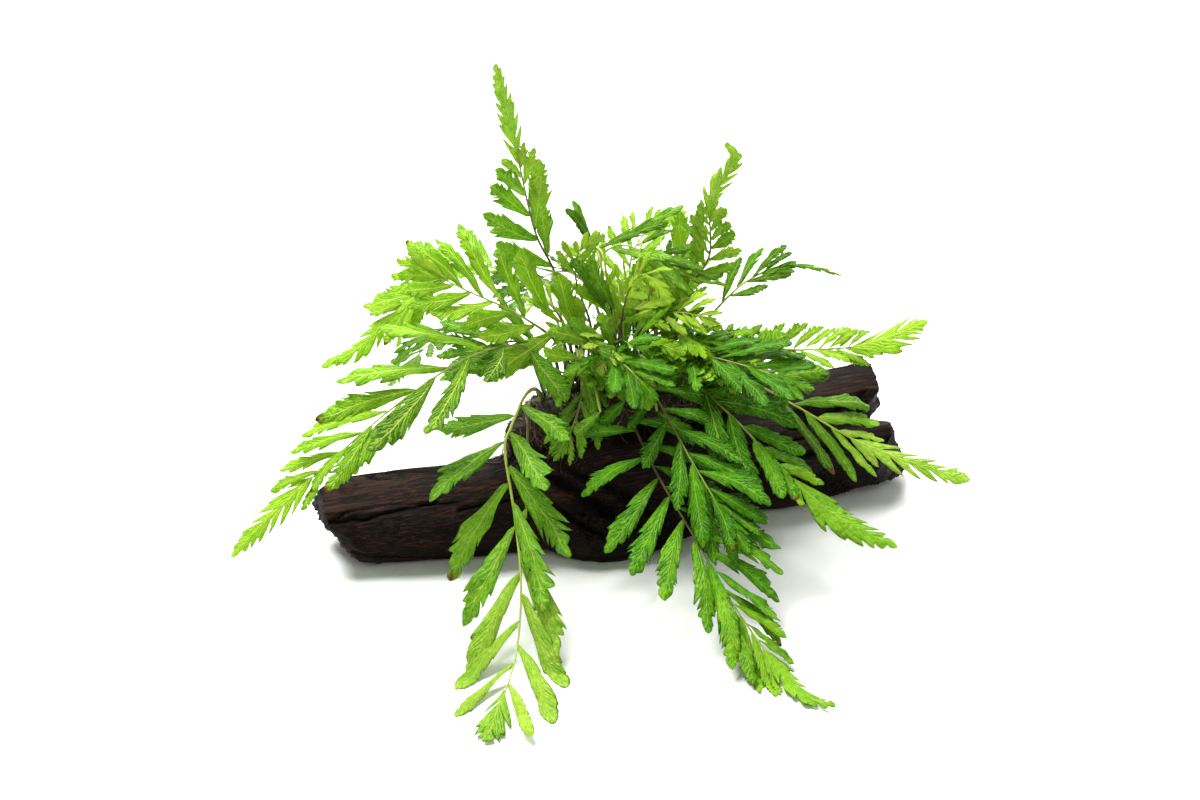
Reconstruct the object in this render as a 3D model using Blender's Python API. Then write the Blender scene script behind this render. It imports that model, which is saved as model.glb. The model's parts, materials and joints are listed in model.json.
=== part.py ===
"""African water fern growing on a piece of driftwood, about 0.32 m wide.

A forked length of water-logged driftwood lies on its flattened underside. A creeping
stem is held on its back by a mat of roots, and fronds rise from the stem, arch over
and trail around the wood. X runs along the wood, Y to the back, Z up, and the origin
is on the underside, below the root mat. Lengths are in millimetres until the
meshes are made.
"""
import itertools
import math

import bmesh
import bpy
from mathutils import Vector, noise
from mathutils.bvhtree import BVHTree

MM = 0.001          # one millimetre in metres
GAP = 0.3           # air between neighbouring pieces
FLOOR_AIR = 0.4     # trailing leaves stop this far above the underside

# Driftwood. A station is x, y, z of the middle, half depth, half height, roll in degrees.
WOOD_SIDES = 14
STATION_STEP = 8.5
SQUARENESS = 2.7    # 2 is an ellipse, more is boxier
TRUNK_STATIONS = [
    (-128, -39, 19, 13, 13, 10),
    (-114, -37, 17, 17, 15, 8),
    (-84, -33, 16, 19, 16.5, 5),
    (-52, -28, 17, 20, 17, 2),
    (-26, -20, 20, 24, 21, 0),
    (0, -10, 23, 29, 25, -4),
    (26, -1, 23, 30, 24, -6),
    (52, 9, 21, 26, 22, -4),
    (86, 21, 20, 21, 19, 0),
]
KNUCKLE_STATIONS = [
    (-34, -31, 12, 8, 8, 0),
    (-14, -35, 12, 12, 12, 8),
    (8, -32, 13, 14, 14, 0),
    (34, -18, 13, 12, 12, -8),
]
UPPER_FORK_STATIONS = [
    (40, 11, 24, 14, 12, 0),
    (70, 24, 30, 18, 15, 8),
    (94, 33, 33, 15, 13, 12),
    (110, 38, 35, 12.5, 12, 16),
    (122, 41, 36, 11, 10, 20),
]
LOWER_FORK_STATIONS = [
    (39, 2, 18, 15, 13, 0),
    (72, 11, 17, 22, 18, 0),
    (98, 20, 16.5, 18.5, 17, -4),
    (118, 23, 18, 16, 15, -8),
    (136, 26, 19, 14, 13, -10),
]
FORK_CUT_X = 80
FORK_SPLIT = ((80, 22, 27), (0.1, -0.35, -0.9))  # where the forks part from each other
LEFT_END_BREAKS = [  # point, outward direction
    ((-119, -40, 28), (-1.0, -0.25, 0.0)),
    ((-112, -44, 12), (-0.8, -0.4, -0.6)),
    ((-112, -26, 30), (-0.55, 0.5, 0.7)),
]
UPPER_FORK_BREAKS = [
    ((117, 42, 38), (1.0, 0.1, 0.2)),
    ((112, 32, 30), (0.8, -0.5, -0.4)),
]
LOWER_FORK_BREAKS = [
    ((126, 26, 16), (1.0, -0.05, 0.3)),
    ((121, 14, 12), (0.7, -0.65, -0.15)),
    ((112, 36, 28), (0.6, 0.55, 0.5)),
]
GRAIN_RELIEF = 0.07  # share of the radius

# Creeping stem and its roots
RHIZOME_ROUTE = [(-33, -9, 54), (-16, -3, 59), (4, 3, 61), (24, 8, 59), (47, 14, 54)]
RHIZOME_RADIUS = 3.3
RHIZOME_SIDES = 8
ROOT_MAT_STATIONS = [  # as on the wood
    (-42, -14, 40, 5, 8, 0),
    (-32, -11, 43, 12, 14, 0),
    (-12, -6, 44, 16, 16.5, 0),
    (10, 0, 44, 16, 16.5, 0),
    (30, 7, 43, 15, 14.5, 0),
    (44, 12, 41, 11, 11, 0),
    (52, 14, 39, 5, 6, 0),
]

# Fronds. root: share of the creeping stem where the frond rises. route: from there to
# the frond's tip. face: where the upper side of the blade looks. bare: share of the
# route below the first leaflet. tail: share of the route that is the narrow tip.
# lengths, angles: of the leaflets on the left side and on the right, from the first to the
# last, and the angles are to the rib. width: of a leaflet, as a share of its length.
FRONDS = {
    "tall_left": dict(
        root=0.29, route=[(-16, 4, 86), (-23, 8, 109), (-31, 10, 127), (-38, 6, 165), (-45, -4, 204)],
        face=(0.25, -0.95, 0.25), bare=0.31, tail=0.27, leaflets=11, lengths=((24, 28, 25, 18, 13),
        (23, 26, 23, 17, 12)), angles=((44, 36, 28, 22), (26, 26, 26, 22)), width=0.34, tint="fresh"),
    "tall_right": dict(
        root=0.74, route=[(27, 12, 81), (33, 15, 98), (41, 15, 113), (41, 10, 138), (49, 4, 159),
        (46, 1, 169)], face=(-0.25, -0.95, 0.2), bare=0.3, tail=0.25, leaflets=12,
        lengths=((18, 21, 19, 12), (17, 22, 20, 12)), angles=((40, 40, 30, 22), (42, 42, 34, 24)),
        width=0.32, tint="fresh"),
    "tall_right_back": dict(
        root=0.65, route=[(19, 18, 76), (23, 26, 90), (28, 36, 106), (30, 42, 122)],
        face=(0.2, -0.8, 0.5), bare=0.3, tail=0.25, leaflets=8, lengths=((17, 20, 16, 12),
        (17, 19, 16, 12)), angles=((38, 30), (42, 32)), width=0.3, tint="bright"),
    "upper_left": dict(
        root=0.2, route=[(-21, -10, 84), (-37, -18, 102), (-56, -24, 115), (-72, -27, 125),
        (-84, -28, 131)], face=(0.2, -0.6, 0.75), bare=0.34, tail=0.13, leaflets=10,
        lengths=((26, 28, 26, 20), (28, 33, 28, 23, 19)), angles=((36, 34, 30, 28),
        (48, 44, 36, 20, 14)), width=0.3, tint="bright"),
    "long_left": dict(
        root=0.14, route=[(-27, -16, 80), (-39, -26, 92), (-58, -42, 94), (-83, -60, 84),
        (-109, -76, 67), (-134, -88, 47), (-148, -94, 34)], face=(0.15, -0.4, 0.9), bare=0.22,
        tail=0.22, leaflets=13, lengths=((31, 41, 38, 31, 22, 16), (38, 38, 34, 29, 24, 20)),
        angles=((44, 26, 14, 18, 18, 18), (38, 32, 28, 28, 33, 30)), width=0.24, tint="bright"),
    "left_mid": dict(
        root=0.17, route=[(-24, -5, 78), (-36, -10, 86), (-52, -14, 85), (-66, -17, 76)],
        face=(0.3, -0.5, 0.8), bare=0.32, tail=0.2, leaflets=8, lengths=((24, 28, 24, 17),
        (22, 26, 23, 16)), angles=((34, 26, 22), (44, 34, 30)), width=0.28, tint="fresh"),
    "back_left": dict(
        root=0.24, route=[(-18, 14, 78), (-27, 26, 88), (-44, 44, 92), (-65, 54, 90), (-90, 58, 70),
        (-110, 54, 51), (-127, 48, 44)], face=(0.1, -0.5, 0.85), bare=0.38, tail=0.22, leaflets=12,
        lengths=((26, 32, 32, 26, 20), (26, 33, 33, 28, 18)), angles=((36, 30, 28), (34, 26, 24)),
        width=0.27, tint="bright"),
    "front_left": dict(
        root=0.08, route=[(-31, -16, 67), (-35, -31, 71), (-40, -48, 66), (-42, -58, 62),
        (-38, -76, 43), (-35, -98, 26), (-36, -118, 9), (-40, -142, 4), (-46, -170, 3)],
        face=(-0.1, -0.7, 0.7), bare=0.19, tail=0.13, leaflets=15, lengths=((30, 44, 50, 42, 28, 20),
        (28, 36, 42, 42, 36, 28, 18)), angles=((62, 38, 14, 14, 24, 29), (84, 42, 44, 34, 28, 34, 36)),
        width=0.25, tint="fresh"),
    "front_small": dict(
        root=0.26, route=[(-12, -16, 74), (-12, -27, 68), (-16, -33, 57), (-23, -37, 45)],
        face=(-0.1, -0.8, 0.6), bare=0.34, tail=0.22, leaflets=7, lengths=((16, 19, 16, 12),
        (16, 19, 16, 12)), angles=((40, 30, 26), (34, 28, 24)), width=0.26, tint="fresh"),
    "front_middle_left": dict(
        root=0.34, route=[(-4, -11, 79), (0, -21, 85), (8, -32, 84), (19, -43, 76)],
        face=(0.1, -0.6, 0.8), bare=0.28, tail=0.2, leaflets=8, lengths=((20, 24, 22, 15),
        (20, 24, 22, 15)), angles=((42, 30), (46, 34)), width=0.3, tint="deep"),
    "front_right": dict(
        root=0.38, route=[(1, -15, 68), (9, -32, 60), (20, -54, 46), (34, -76, 31), (48, -100, 16),
        (63, -124, 5), (73, -142, 3), (84, -150, 3)], face=(0.2, -0.6, 0.75), bare=0.16, tail=0.16,
        leaflets=19, lengths=((24, 36, 40, 36, 30, 24, 16), (22, 36, 41, 41, 42, 36, 24)),
        angles=((60, 46, 38, 26, 20, 18), (118, 72, 52, 25, 18, 20, 20)), width=0.25, tint="deep"),
    "front_middle": dict(
        root=0.47, route=[(11, -12, 72), (20, -28, 67), (30, -47, 56), (41, -65, 44), (55, -84, 29)],
        face=(0.1, -0.6, 0.8), bare=0.2, tail=0.18, leaflets=14, lengths=((15, 28, 32, 27, 20),
        (20, 28, 32, 30, 20)), angles=((40, 38, 34, 30), (66, 44, 24, 18, 20)), width=0.28, tint="deep"),
    "right_low": dict(
        root=0.56, route=[(19, -6, 73), (32, -18, 73), (52, -36, 62), (71, -54, 48), (90, -66, 36),
        (114, -76, 27)], face=(0.1, -0.55, 0.85), bare=0.2, tail=0.2, leaflets=14,
        lengths=((29, 29, 25, 21, 19, 16), (34, 35, 29, 23, 20, 15)), angles=((42, 34, 26, 26, 30, 30),
        (44, 32, 26, 20, 20, 24)), width=0.27, tint="deep"),
    "right_middle": dict(
        root=0.69, route=[(26, -2, 76), (40, -16, 82), (60, -28, 82), (82, -36, 77)],
        face=(0.1, -0.6, 0.8), bare=0.22, tail=0.18, leaflets=11, lengths=((24, 29, 28, 22, 15),
        (24, 30, 30, 24, 15)), angles=((40, 32, 28, 28), (46, 34, 24, 22)), width=0.28, tint="deep"),
    "right_far": dict(
        root=0.8, route=[(39, 3, 69), (54, -4, 67), (78, -13, 57), (102, -22, 46), (129, -30, 38),
        (148, -36, 35)], face=(0.1, -0.5, 0.85), bare=0.26, tail=0.22, leaflets=12,
        lengths=((26, 28, 25, 20, 15), (30, 32, 29, 22, 15)), angles=((40, 34, 32, 28, 22),
        (34, 28, 24, 22, 24)), width=0.26, tint="fresh"),
    "right_level": dict(
        root=0.9, route=[(46, 15, 68), (59, 15, 71), (81, 12, 71), (107, 9, 75), (132, 6, 87)],
        face=(-0.1, -0.6, 0.8), bare=0.2, tail=0.19, leaflets=14, lengths=((16, 20, 22, 20, 14),
        (19, 22, 23, 14)), angles=((38, 28, 24, 28, 30), (34, 28, 22, 26)), width=0.3, tint="bright"),
    "upper_right": dict(
        root=0.84, route=[(36, 18, 74), (44, 22, 84), (58, 27, 96), (76, 28, 103), (98, 20, 101)],
        face=(-0.2, -0.8, 0.6), bare=0.34, tail=0.34, leaflets=8, lengths=((20, 22, 17, 11),
        (17, 19, 15, 10)), angles=((24, 18, 12), (32, 24, 14)), width=0.27, tint="fresh"),
    "back_arch": dict(
        root=0.49, route=[(0, 18, 82), (-6, 27, 102), (5, 24, 114), (24, 14, 109), (37, 8, 105),
        (50, 3, 106)], face=(0.1, -0.5, 0.85), bare=0.4, tail=0.22, leaflets=8,
        lengths=((25, 29, 23, 14), (34, 33, 24, 14)), angles=((60, 22, 12, 24), (38, 28, 20, 24)),
        width=0.24, tint="fresh"),
    "middle_bright": dict(
        root=0.44, route=[(4, 0, 86), (7, -6, 106), (14, -14, 118), (24, -22, 108)],
        face=(-0.3, -0.6, 0.7), bare=0.25, tail=0.2, leaflets=11, lengths=((18, 24, 22, 15),
        (18, 24, 22, 15)), angles=((40, 28), (44, 32)), width=0.28, tint="bright"),
    "middle_right": dict(
        root=0.54, route=[(12, 6, 82), (20, 2, 92), (33, -5, 96), (46, -12, 92)],
        face=(-0.2, -0.6, 0.8), bare=0.25, tail=0.2, leaflets=11, lengths=((18, 24, 22, 15),
        (18, 24, 22, 15)), angles=((40, 28), (44, 32)), width=0.28, tint="bright"),
    "middle_left": dict(
        root=0.33, route=[(-8, 8, 84), (-14, 10, 104), (-12, 6, 120), (-2, -2, 130)],
        face=(0.3, -0.8, 0.4), bare=0.28, tail=0.22, leaflets=10, lengths=((19, 23, 21, 14),
        (19, 23, 21, 14)), angles=((38, 28), (42, 30)), width=0.28, tint="fresh"),
    "back_middle": dict(
        root=0.39, route=[(-4, 22, 80), (-12, 42, 90), (-24, 66, 82), (-38, 92, 60), (-47, 112, 38)],
        face=(0.1, 0.6, 0.8), bare=0.28, tail=0.2, leaflets=12, lengths=((24, 31, 30, 26, 15),
        (24, 31, 30, 26, 15)), angles=((40, 26), (44, 28)), width=0.27, tint="fresh"),
    "back_right": dict(
        root=0.78, route=[(34, 27, 74), (44, 42, 66), (60, 58, 48), (78, 72, 28), (92, 82, 14)],
        face=(0.0, 0.5, 0.85), bare=0.28, tail=0.2, leaflets=12, lengths=((24, 30, 29, 25, 15),
        (24, 30, 29, 25, 15)), angles=((40, 26), (44, 28)), width=0.27, tint="fresh"),
    "back_up": dict(
        root=0.6, route=[(10, 24, 86), (9, 40, 100), (18, 56, 108), (34, 68, 110)],
        face=(0.2, -0.6, 0.7), bare=0.27, tail=0.2, leaflets=11, lengths=((20, 25, 24, 19, 14),
        (20, 25, 24, 19, 14)), angles=((38, 28), (42, 30)), width=0.28, tint="bright"),
    "back_far_left": dict(
        root=0.09, route=[(-36, 14, 72), (-52, 34, 72), (-72, 54, 58), (-90, 68, 36), (-100, 76, 20)],
        face=(0.0, 0.4, 0.9), bare=0.3, tail=0.2, leaflets=10, lengths=((24, 29, 27, 21, 15),
        (24, 29, 27, 21, 15)), angles=((40, 28), (40, 28)), width=0.27, tint="fresh"),
}
STALK_RADIUS = (0.8, 0.5)       # at the creeping stem, where the blade starts
STALK_SIDES = 5
RACHIS_HALF_WIDTH = (0.8, 0.45)  # at the first leaflet, at the tail
RACHIS_DEPTH = (1.1, 0.6)
LEAFLET_PROFILE = [(0.48, 1.0), (0.85, 0.66)]    # share of the length, share of the width
LEAFLET_THICKNESS = 0.5
LEAFLET_DROOP = 0.1             # share of the length that the tip sinks
LEAFLET_RISE = 6                # degrees above the blade's plane
LEAFLET_SHRINKS = (1.0, 0.85, 0.7, 0.55)
LEAFLET_MOVES = [  # lift and turn in degrees, tried in this order where leaflets would meet
    (0, 0), (10, 0), (-10, 0), (0, -7), (0, 7), (20, 0), (-20, 0), (10, 8), (-10, 8), (28, 0), (-28, 0),
]
SPACING_FALL = 0.55             # how much closer the last leaflets sit
TAIL_PROFILE = (0.45, 0.8, 2.9, 2.6, 1.0)  # half width along the tail
TAIL_STEPS = (0.22, 0.48, 0.75, 0.93)

TINTS = {
    "bright": (0.32, 0.62, 0.05, 1.0),
    "fresh": (0.18, 0.48, 0.04, 1.0),
    "deep": (0.06, 0.27, 0.03, 1.0),
}
WOOD_COLOUR = (0.035, 0.018, 0.011, 1.0)
STALK_COLOUR = (0.05, 0.06, 0.02, 1.0)
RHIZOME_COLOUR = (0.06, 0.08, 0.02, 1.0)
ROOT_COLOUR = (0.05, 0.03, 0.015, 1.0)


def material(name, colour, roughness):
    """One Principled material, made once and then shared."""
    found = bpy.data.materials.get(name)
    if found:
        return found
    made = bpy.data.materials.new(name)
    made.use_nodes = True
    shader = made.node_tree.nodes["Principled BSDF"]
    shader.inputs["Base Color"].default_value = colour
    shader.inputs["Roughness"].default_value = roughness
    return made


def link_mesh(name, bm, finish):
    """Turn a millimetre bmesh into a finished object in metres."""
    bmesh.ops.scale(bm, vec=(MM, MM, MM), verts=bm.verts)
    bmesh.ops.recalc_face_normals(bm, faces=bm.faces)
    if bm.calc_volume(signed=True) < 0:
        bmesh.ops.reverse_faces(bm, faces=bm.faces)
    mesh = bpy.data.meshes.new(name)
    bm.to_mesh(mesh)
    bm.free()
    mesh.materials.append(finish)
    item = bpy.data.objects.new(name, mesh)
    bpy.context.scene.collection.objects.link(item)
    return item


def blend(pair, share):
    return pair[0] + (pair[1] - pair[0]) * share


def catmull(points, share):
    """A point on the smooth curve through a list of rows, share 0 to 1 of its spans."""
    span = min(int(share * (len(points) - 1)), len(points) - 2)
    t = share * (len(points) - 1) - span
    before = points[max(span - 1, 0)]
    here, there = points[span], points[span + 1]
    after = points[min(span + 2, len(points) - 1)]
    return [0.5 * (2 * b + (c - a) * t + (2 * a - 5 * b + 4 * c - d) * t ** 2
                   + (3 * b - a - 3 * c + d) * t ** 3)
            for a, b, c, d in zip(before, here, there, after)]


def profile(values, share):
    """A number read smoothly from a list of numbers, share 0 to 1 of its spans."""
    return catmull([(value,) for value in values], share)[0]


class Route:
    """A smooth curve through hand-placed points, read by its share of length."""

    def __init__(self, points, samples=120):
        self.points = [Vector(catmull(points, i / samples)) for i in range(samples + 1)]
        self.reach = [0.0]
        for a, b in zip(self.points, self.points[1:]):
            self.reach.append(self.reach[-1] + (b - a).length)
        self.length = self.reach[-1]

    def at(self, share):
        target = min(max(share, 0.0), 1.0) * self.length
        for i in range(1, len(self.points)):
            if self.reach[i] >= target:
                step = self.reach[i] - self.reach[i - 1]
                return self.points[i - 1].lerp(self.points[i], (target - self.reach[i - 1]) / step)
        return self.points[-1].copy()

    def along(self, share):
        reach = 1.5 / self.length
        return (self.at(share + reach) - self.at(share - reach)).normalized()


def rooted(share, towards):
    """The point just outside the creeping stem from which a frond rises."""
    middle = Route(RHIZOME_ROUTE).at(share)
    way = (Vector(towards) - middle).normalized()
    return middle + way * (RHIZOME_RADIUS + 2 * GAP)


def loft(bm, rings, close_start=True, close_end=True):
    """Skin closed rings of equal count."""
    rows = [[bm.verts.new(p) for p in ring] for ring in rings]
    for row, after in zip(rows, rows[1:]):
        for i in range(len(row)):
            j = (i + 1) % len(row)
            bm.faces.new((row[i], row[j], after[j], after[i]))
    if close_start:
        bm.faces.new(rows[0][::-1])
    if close_end:
        bm.faces.new(rows[-1])


def tube(bm, route, first, last, radii, sides, steps):
    rings = []
    for i in range(steps + 1):
        share = first + (last - first) * i / steps
        ahead = route.along(share)
        across = ahead.cross(Vector((0.3, 1.0, 0.2))).normalized()
        up = across.cross(ahead)
        radius = blend(radii, i / steps)
        middle = route.at(share)
        rings.append([middle + radius * (math.cos(a) * across + math.sin(a) * up)
                      for a in (2 * math.pi * k / sides for k in range(sides))])
    loft(bm, rings)


def limb(name, stations, seed, finish):
    """A boxy, ridged limb through its stations, as an object."""
    bm = bmesh.new()
    reach = stations[-1][0] - stations[0][0]
    count = max(3, round(reach / STATION_STEP))
    rings = []
    for i in range(count + 1):
        x, y, z, depth, height, roll = catmull(stations, i / count)
        turn = math.radians(roll)
        ring = []
        for k in range(WOOD_SIDES):
            a = 2 * math.pi * k / WOOD_SIDES
            c, s = math.cos(a), math.sin(a)
            boxy = (abs(c) ** SQUARENESS + abs(s) ** SQUARENESS) ** (-1 / SQUARENESS)
            ridge = noise.noise(Vector((x * 0.012, 2.4 * c, 2.4 * s + seed)))
            lump = noise.noise(Vector((x * 0.05, 1.3 * c + seed, 1.3 * s)))
            grow = boxy * (1 + 2 * GRAIN_RELIEF * ridge + GRAIN_RELIEF * lump)
            dy, dz = depth * c * grow, height * s * grow
            ring.append(Vector((x, y + dy * math.cos(turn) - dz * math.sin(turn),
                                z + dy * math.sin(turn) + dz * math.cos(turn))))
        rings.append(ring)
    loft(bm, rings)
    return link_mesh(name, bm, finish)


def boolean(item, other, operation):
    """Apply an exact Boolean and remove the tool piece."""
    change = item.modifiers.new(operation.lower(), "BOOLEAN")
    change.operation = operation
    change.solver = "EXACT"
    change.object = other
    graph = bpy.context.evaluated_depsgraph_get()
    mesh = bpy.data.meshes.new_from_object(item.evaluated_get(graph))
    item.modifiers.remove(change)
    item.data = mesh
    bpy.data.objects.remove(other)


def slice_flat(item, point, outward):
    """Cut an object off flat, losing what lies beyond the plane."""
    bm = bmesh.new()
    bm.from_mesh(item.data)
    cut = bmesh.ops.bisect_plane(bm, geom=bm.verts[:] + bm.edges[:] + bm.faces[:],
                                 plane_co=Vector(point) * MM, plane_no=Vector(outward),
                                 clear_outer=True, dist=1e-7)
    rim = [e for e in cut["geom_cut"] if isinstance(e, bmesh.types.BMEdge)]
    bmesh.ops.holes_fill(bm, edges=rim)
    bmesh.ops.recalc_face_normals(bm, faces=bm.faces)
    bm.to_mesh(item.data)
    bm.free()


def clean(item):
    """Merge slivers that the cuts leave behind and make every face a triangle."""
    bm = bmesh.new()
    bm.from_mesh(item.data)
    bmesh.ops.dissolve_degenerate(bm, dist=2e-5, edges=bm.edges)
    bmesh.ops.triangulate(bm, faces=bm.faces)
    bmesh.ops.recalc_face_normals(bm, faces=bm.faces)
    bm.to_mesh(item.data)
    bm.free()


def twin(item, name):
    """A copy of an object with a mesh of its own."""
    copy = bpy.data.objects.new(name, item.data.copy())
    bpy.context.scene.collection.objects.link(copy)
    return copy


def make_driftwood():
    """The whole piece is modelled first, then parted at its forks."""
    wood = material("wet_driftwood", WOOD_COLOUR, 0.35)
    trunk = limb("driftwood_trunk", TRUNK_STATIONS, 3.0, wood)
    for name, stations, seed in (("knuckle", KNUCKLE_STATIONS, 7.0),
                                 ("lower_limb", LOWER_FORK_STATIONS, 17.0),
                                 ("upper_limb", UPPER_FORK_STATIONS, 11.0)):
        boolean(trunk, limb(name, stations, seed, wood), "UNION")
    slice_flat(trunk, (0, 0, 0), (0, 0, -1))
    upper = twin(trunk, "driftwood_upper_fork")
    lower = twin(trunk, "driftwood_lower_fork")
    slice_flat(trunk, (FORK_CUT_X, 0, 0), (1, 0, 0))
    split, down = Vector(FORK_SPLIT[0]), Vector(FORK_SPLIT[1]).normalized()
    slice_flat(upper, split, down)
    slice_flat(lower, split + GAP * down, -down)
    for fork in (upper, lower):
        slice_flat(fork, (FORK_CUT_X + GAP, 0, 0), (-1, 0, 0))
    for item, breaks in ((trunk, LEFT_END_BREAKS), (upper, UPPER_FORK_BREAKS), (lower, LOWER_FORK_BREAKS)):
        for point, outward in breaks:
            slice_flat(item, point, outward)
        clean(item)
    return trunk, upper, lower


def grown(item, name, amount):
    """A copy whose surface stands a little further out all over."""
    copy = twin(item, name)
    bm = bmesh.new()
    bm.from_mesh(copy.data)
    bmesh.ops.recalc_face_normals(bm, faces=bm.faces)
    bm.normal_update()
    moves = [v.normal * amount * MM for v in bm.verts]
    for v, move in zip(bm.verts, moves):
        v.co += move
    bm.to_mesh(copy.data)
    bm.free()
    return copy


def make_rhizome():
    bm = bmesh.new()
    tube(bm, Route(RHIZOME_ROUTE), 0.0, 1.0, (RHIZOME_RADIUS, RHIZOME_RADIUS * 0.8), RHIZOME_SIDES, 9)
    return link_mesh("rhizome", bm, material("creeping_stem", RHIZOME_COLOUR, 0.6))


def make_root_mat(trunk, rhizome):
    """A mound of roots around the creeping stem, fitted over the wood."""
    mat = limb("root_mat", ROOT_MAT_STATIONS, 23.0, material("roots", ROOT_COLOUR, 0.9))
    boolean(mat, grown(trunk, "wood_room", 1.5 * GAP), "DIFFERENCE")
    boolean(mat, grown(rhizome, "stem_room", 1.5 * GAP), "DIFFERENCE")
    clean(mat)
    return mat


class Blade:
    """The leafy part of one frond: a thin keeled rib with leaflets and a lobed tip.

    The upper side is flat, and under it a keel runs below the rib and below the middle
    of each leaflet, so every strip has a shallow triangle for its section.
    """

    def __init__(self, plan):
        self.plan = plan
        self.route = Route([rooted(plan["root"], plan["route"][0])] + plan["route"])
        self.hint = Vector(plan["face"]).normalized()

    def frame(self, share):
        ahead = self.route.along(share)
        face = (self.hint - self.hint.dot(ahead) * ahead).normalized()
        return self.route.at(share), ahead, face, ahead.cross(face)

    def seats(self):
        """Shares of the route where the leaflets' bases meet, closer towards the tip."""
        count = self.plan["leaflets"]
        steps = [1.0 - SPACING_FALL * k / count for k in range(count)]
        span = 1.0 - self.plan["tail"] - self.plan["bare"]
        shares = [self.plan["bare"]]
        for step in steps:
            shares.append(shares[-1] + span * step / sum(steps))
        return shares

    def rib_row(self, share):
        """Left margin, right margin and keel of the rib at a share of the route."""
        bare, tail = self.plan["bare"], 1.0 - self.plan["tail"]
        t = min(max((share - bare) / (tail - bare), 0.0), 1.0)
        half = blend(RACHIS_HALF_WIDTH, t)
        if share > tail:
            half = profile(TAIL_PROFILE, (share - tail) / (1.0 - tail))
        middle, _, face, right = self.frame(share)
        return [above_floor(p) for p in (middle - half * right, middle + half * right,
                                         middle - blend(RACHIS_DEPTH, t) * face)]

    def leaflet(self, share, side, k, lift=0.0, turn=0.0, shrink=1.0):
        """Rows of near margin, far margin and keel along one leaflet, then its tip."""
        base, ahead, face, right = self.frame(share)
        t = k / max(self.plan["leaflets"] - 1, 1)
        angle = math.radians(profile(self.plan["angles"][k % 2], t) + turn)
        length = profile(self.plan["lengths"][k % 2], t) * shrink
        rise = math.radians(LEAFLET_RISE + lift)
        flat = math.cos(angle) * ahead + math.sin(angle) * side * right
        way = math.cos(rise) * flat + math.sin(rise) * face
        sag = -LEAFLET_DROOP * length * (0.5 * face + Vector((0, 0, 0.5)))
        across = way.cross(face).normalized() * side
        rows = []
        for out, wide in LEAFLET_PROFILE:
            middle = base + length * out * way + out ** 2 * sag
            half = 0.5 * length * self.plan["width"] * wide
            rows.append([above_floor(p) for p in (middle + half * across, middle - half * across,
                                                  middle - LEAFLET_THICKNESS * face)])
        return rows, above_floor(base + length * way + sag)


def above_floor(point):
    return Vector((point.x, point.y, max(point.z, FLOOR_AIR)))


def side_of(k):
    """Leaflets stand by turns on the left, -1, and on the right, 1."""
    return 1 if k % 2 else -1


def blade_mesh(blade, taken):
    """Vertices and faces of one blade, each leaflet moved clear of what is there."""
    seats = blade.seats()
    tail_from = seats[-1]
    shares = seats + [tail_from + (1.0 - tail_from) * t for t in TAIL_STEPS]
    rows = [blade.rib_row(share) for share in shares]
    tip = above_floor(blade.route.at(1.0))
    leaflets = {}
    for k in range(blade.plan["leaflets"]):
        middle = 0.5 * (seats[k] + seats[k + 1])
        for shrink, (lift, turn) in itertools.product(LEAFLET_SHRINKS, LEAFLET_MOVES):
            leaflets[k] = blade.leaflet(middle, side_of(k), k, lift, turn, shrink)
            if (is_clear(*leaflet_skin(leaflets[k]), taken)
                    and not is_tangled(*blade_surface(rows, tip, leaflets))):
                break
            del leaflets[k]
    return *blade_surface(rows, tip, leaflets), len(leaflets)


def blade_surface(rows, tip, leaflets):
    """A keeled rib, a stretch for each two rows, and the leaflet on each stretch that has one."""
    verts = [p for row in rows for p in row]
    end = len(verts)
    verts.append(tip)
    faces = [(0, 2, 1)]
    for i in range(len(rows) - 1):
        left, right, keel = 3 * i, 3 * i + 1, 3 * i + 2
        add_quad(faces, left, right, right + 3, left + 3)
        for edge, side in ((left, -1), (right, 1)):
            if i in leaflets and side == side_of(i):
                attach_leaflet(verts, faces, leaflets[i], edge, edge + 3, keel, keel + 3)
            else:
                add_quad(faces, edge, edge + 3, keel + 3, keel)
    left, right, keel = end - 3, end - 2, end - 1
    faces += [(left, right, end), (right, keel, end), (keel, left, end)]
    return verts, faces


def add_quad(faces, a, b, c, d):
    faces += [(a, b, c), (a, c, d)]


def is_tangled(verts, faces):
    """True where two faces that don't touch at a corner cross each other."""
    tree = BVHTree.FromPolygons(verts, faces)
    corners = [set(face) for face in faces]
    return any(a < b and not corners[a] & corners[b] for a, b in tree.overlap(tree))


def attach_leaflet(verts, faces, outer, near, far, near_keel, far_keel):
    """Grow a leaflet from one stretch of the rib's margin."""
    rows, tip = outer
    first = len(verts)
    for row in rows:
        verts.extend(row)
    end = len(verts)
    verts.append(tip)
    a, b, k = first, first + 1, first + 2
    add_quad(faces, near, far, b, a)
    add_quad(faces, near, a, k, near_keel)
    add_quad(faces, far_keel, k, b, far)
    faces.append((near_keel, k, far_keel))
    for _ in rows[1:]:
        add_quad(faces, a, b, b + 3, a + 3)
        add_quad(faces, a, a + 3, k + 3, k)
        add_quad(faces, k, k + 3, b + 3, b)
        a, b, k = a + 3, b + 3, k + 3
    faces += [(a, b, end), (a, end, k), (k, end, b)]


def leaflet_skin(outer):
    """The free part of a leaflet as triangles, for the fit test."""
    rows, tip = outer
    points = [p for row in rows for p in row] + [tip]
    tris = []
    for i in range(len(rows) - 1):
        a, b, k = 3 * i, 3 * i + 1, 3 * i + 2
        tris += [(a, b, b + 3), (a, b + 3, a + 3), (b, k, k + 3), (b, k + 3, b + 3),
                 (k, a, a + 3), (k, a + 3, k + 3)]
    a, b, k = 3 * len(rows) - 3, 3 * len(rows) - 2, 3 * len(rows) - 1
    last = len(points) - 1
    tris += [(a, b, last), (b, k, last), (k, a, last)]
    return points, tris


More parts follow.
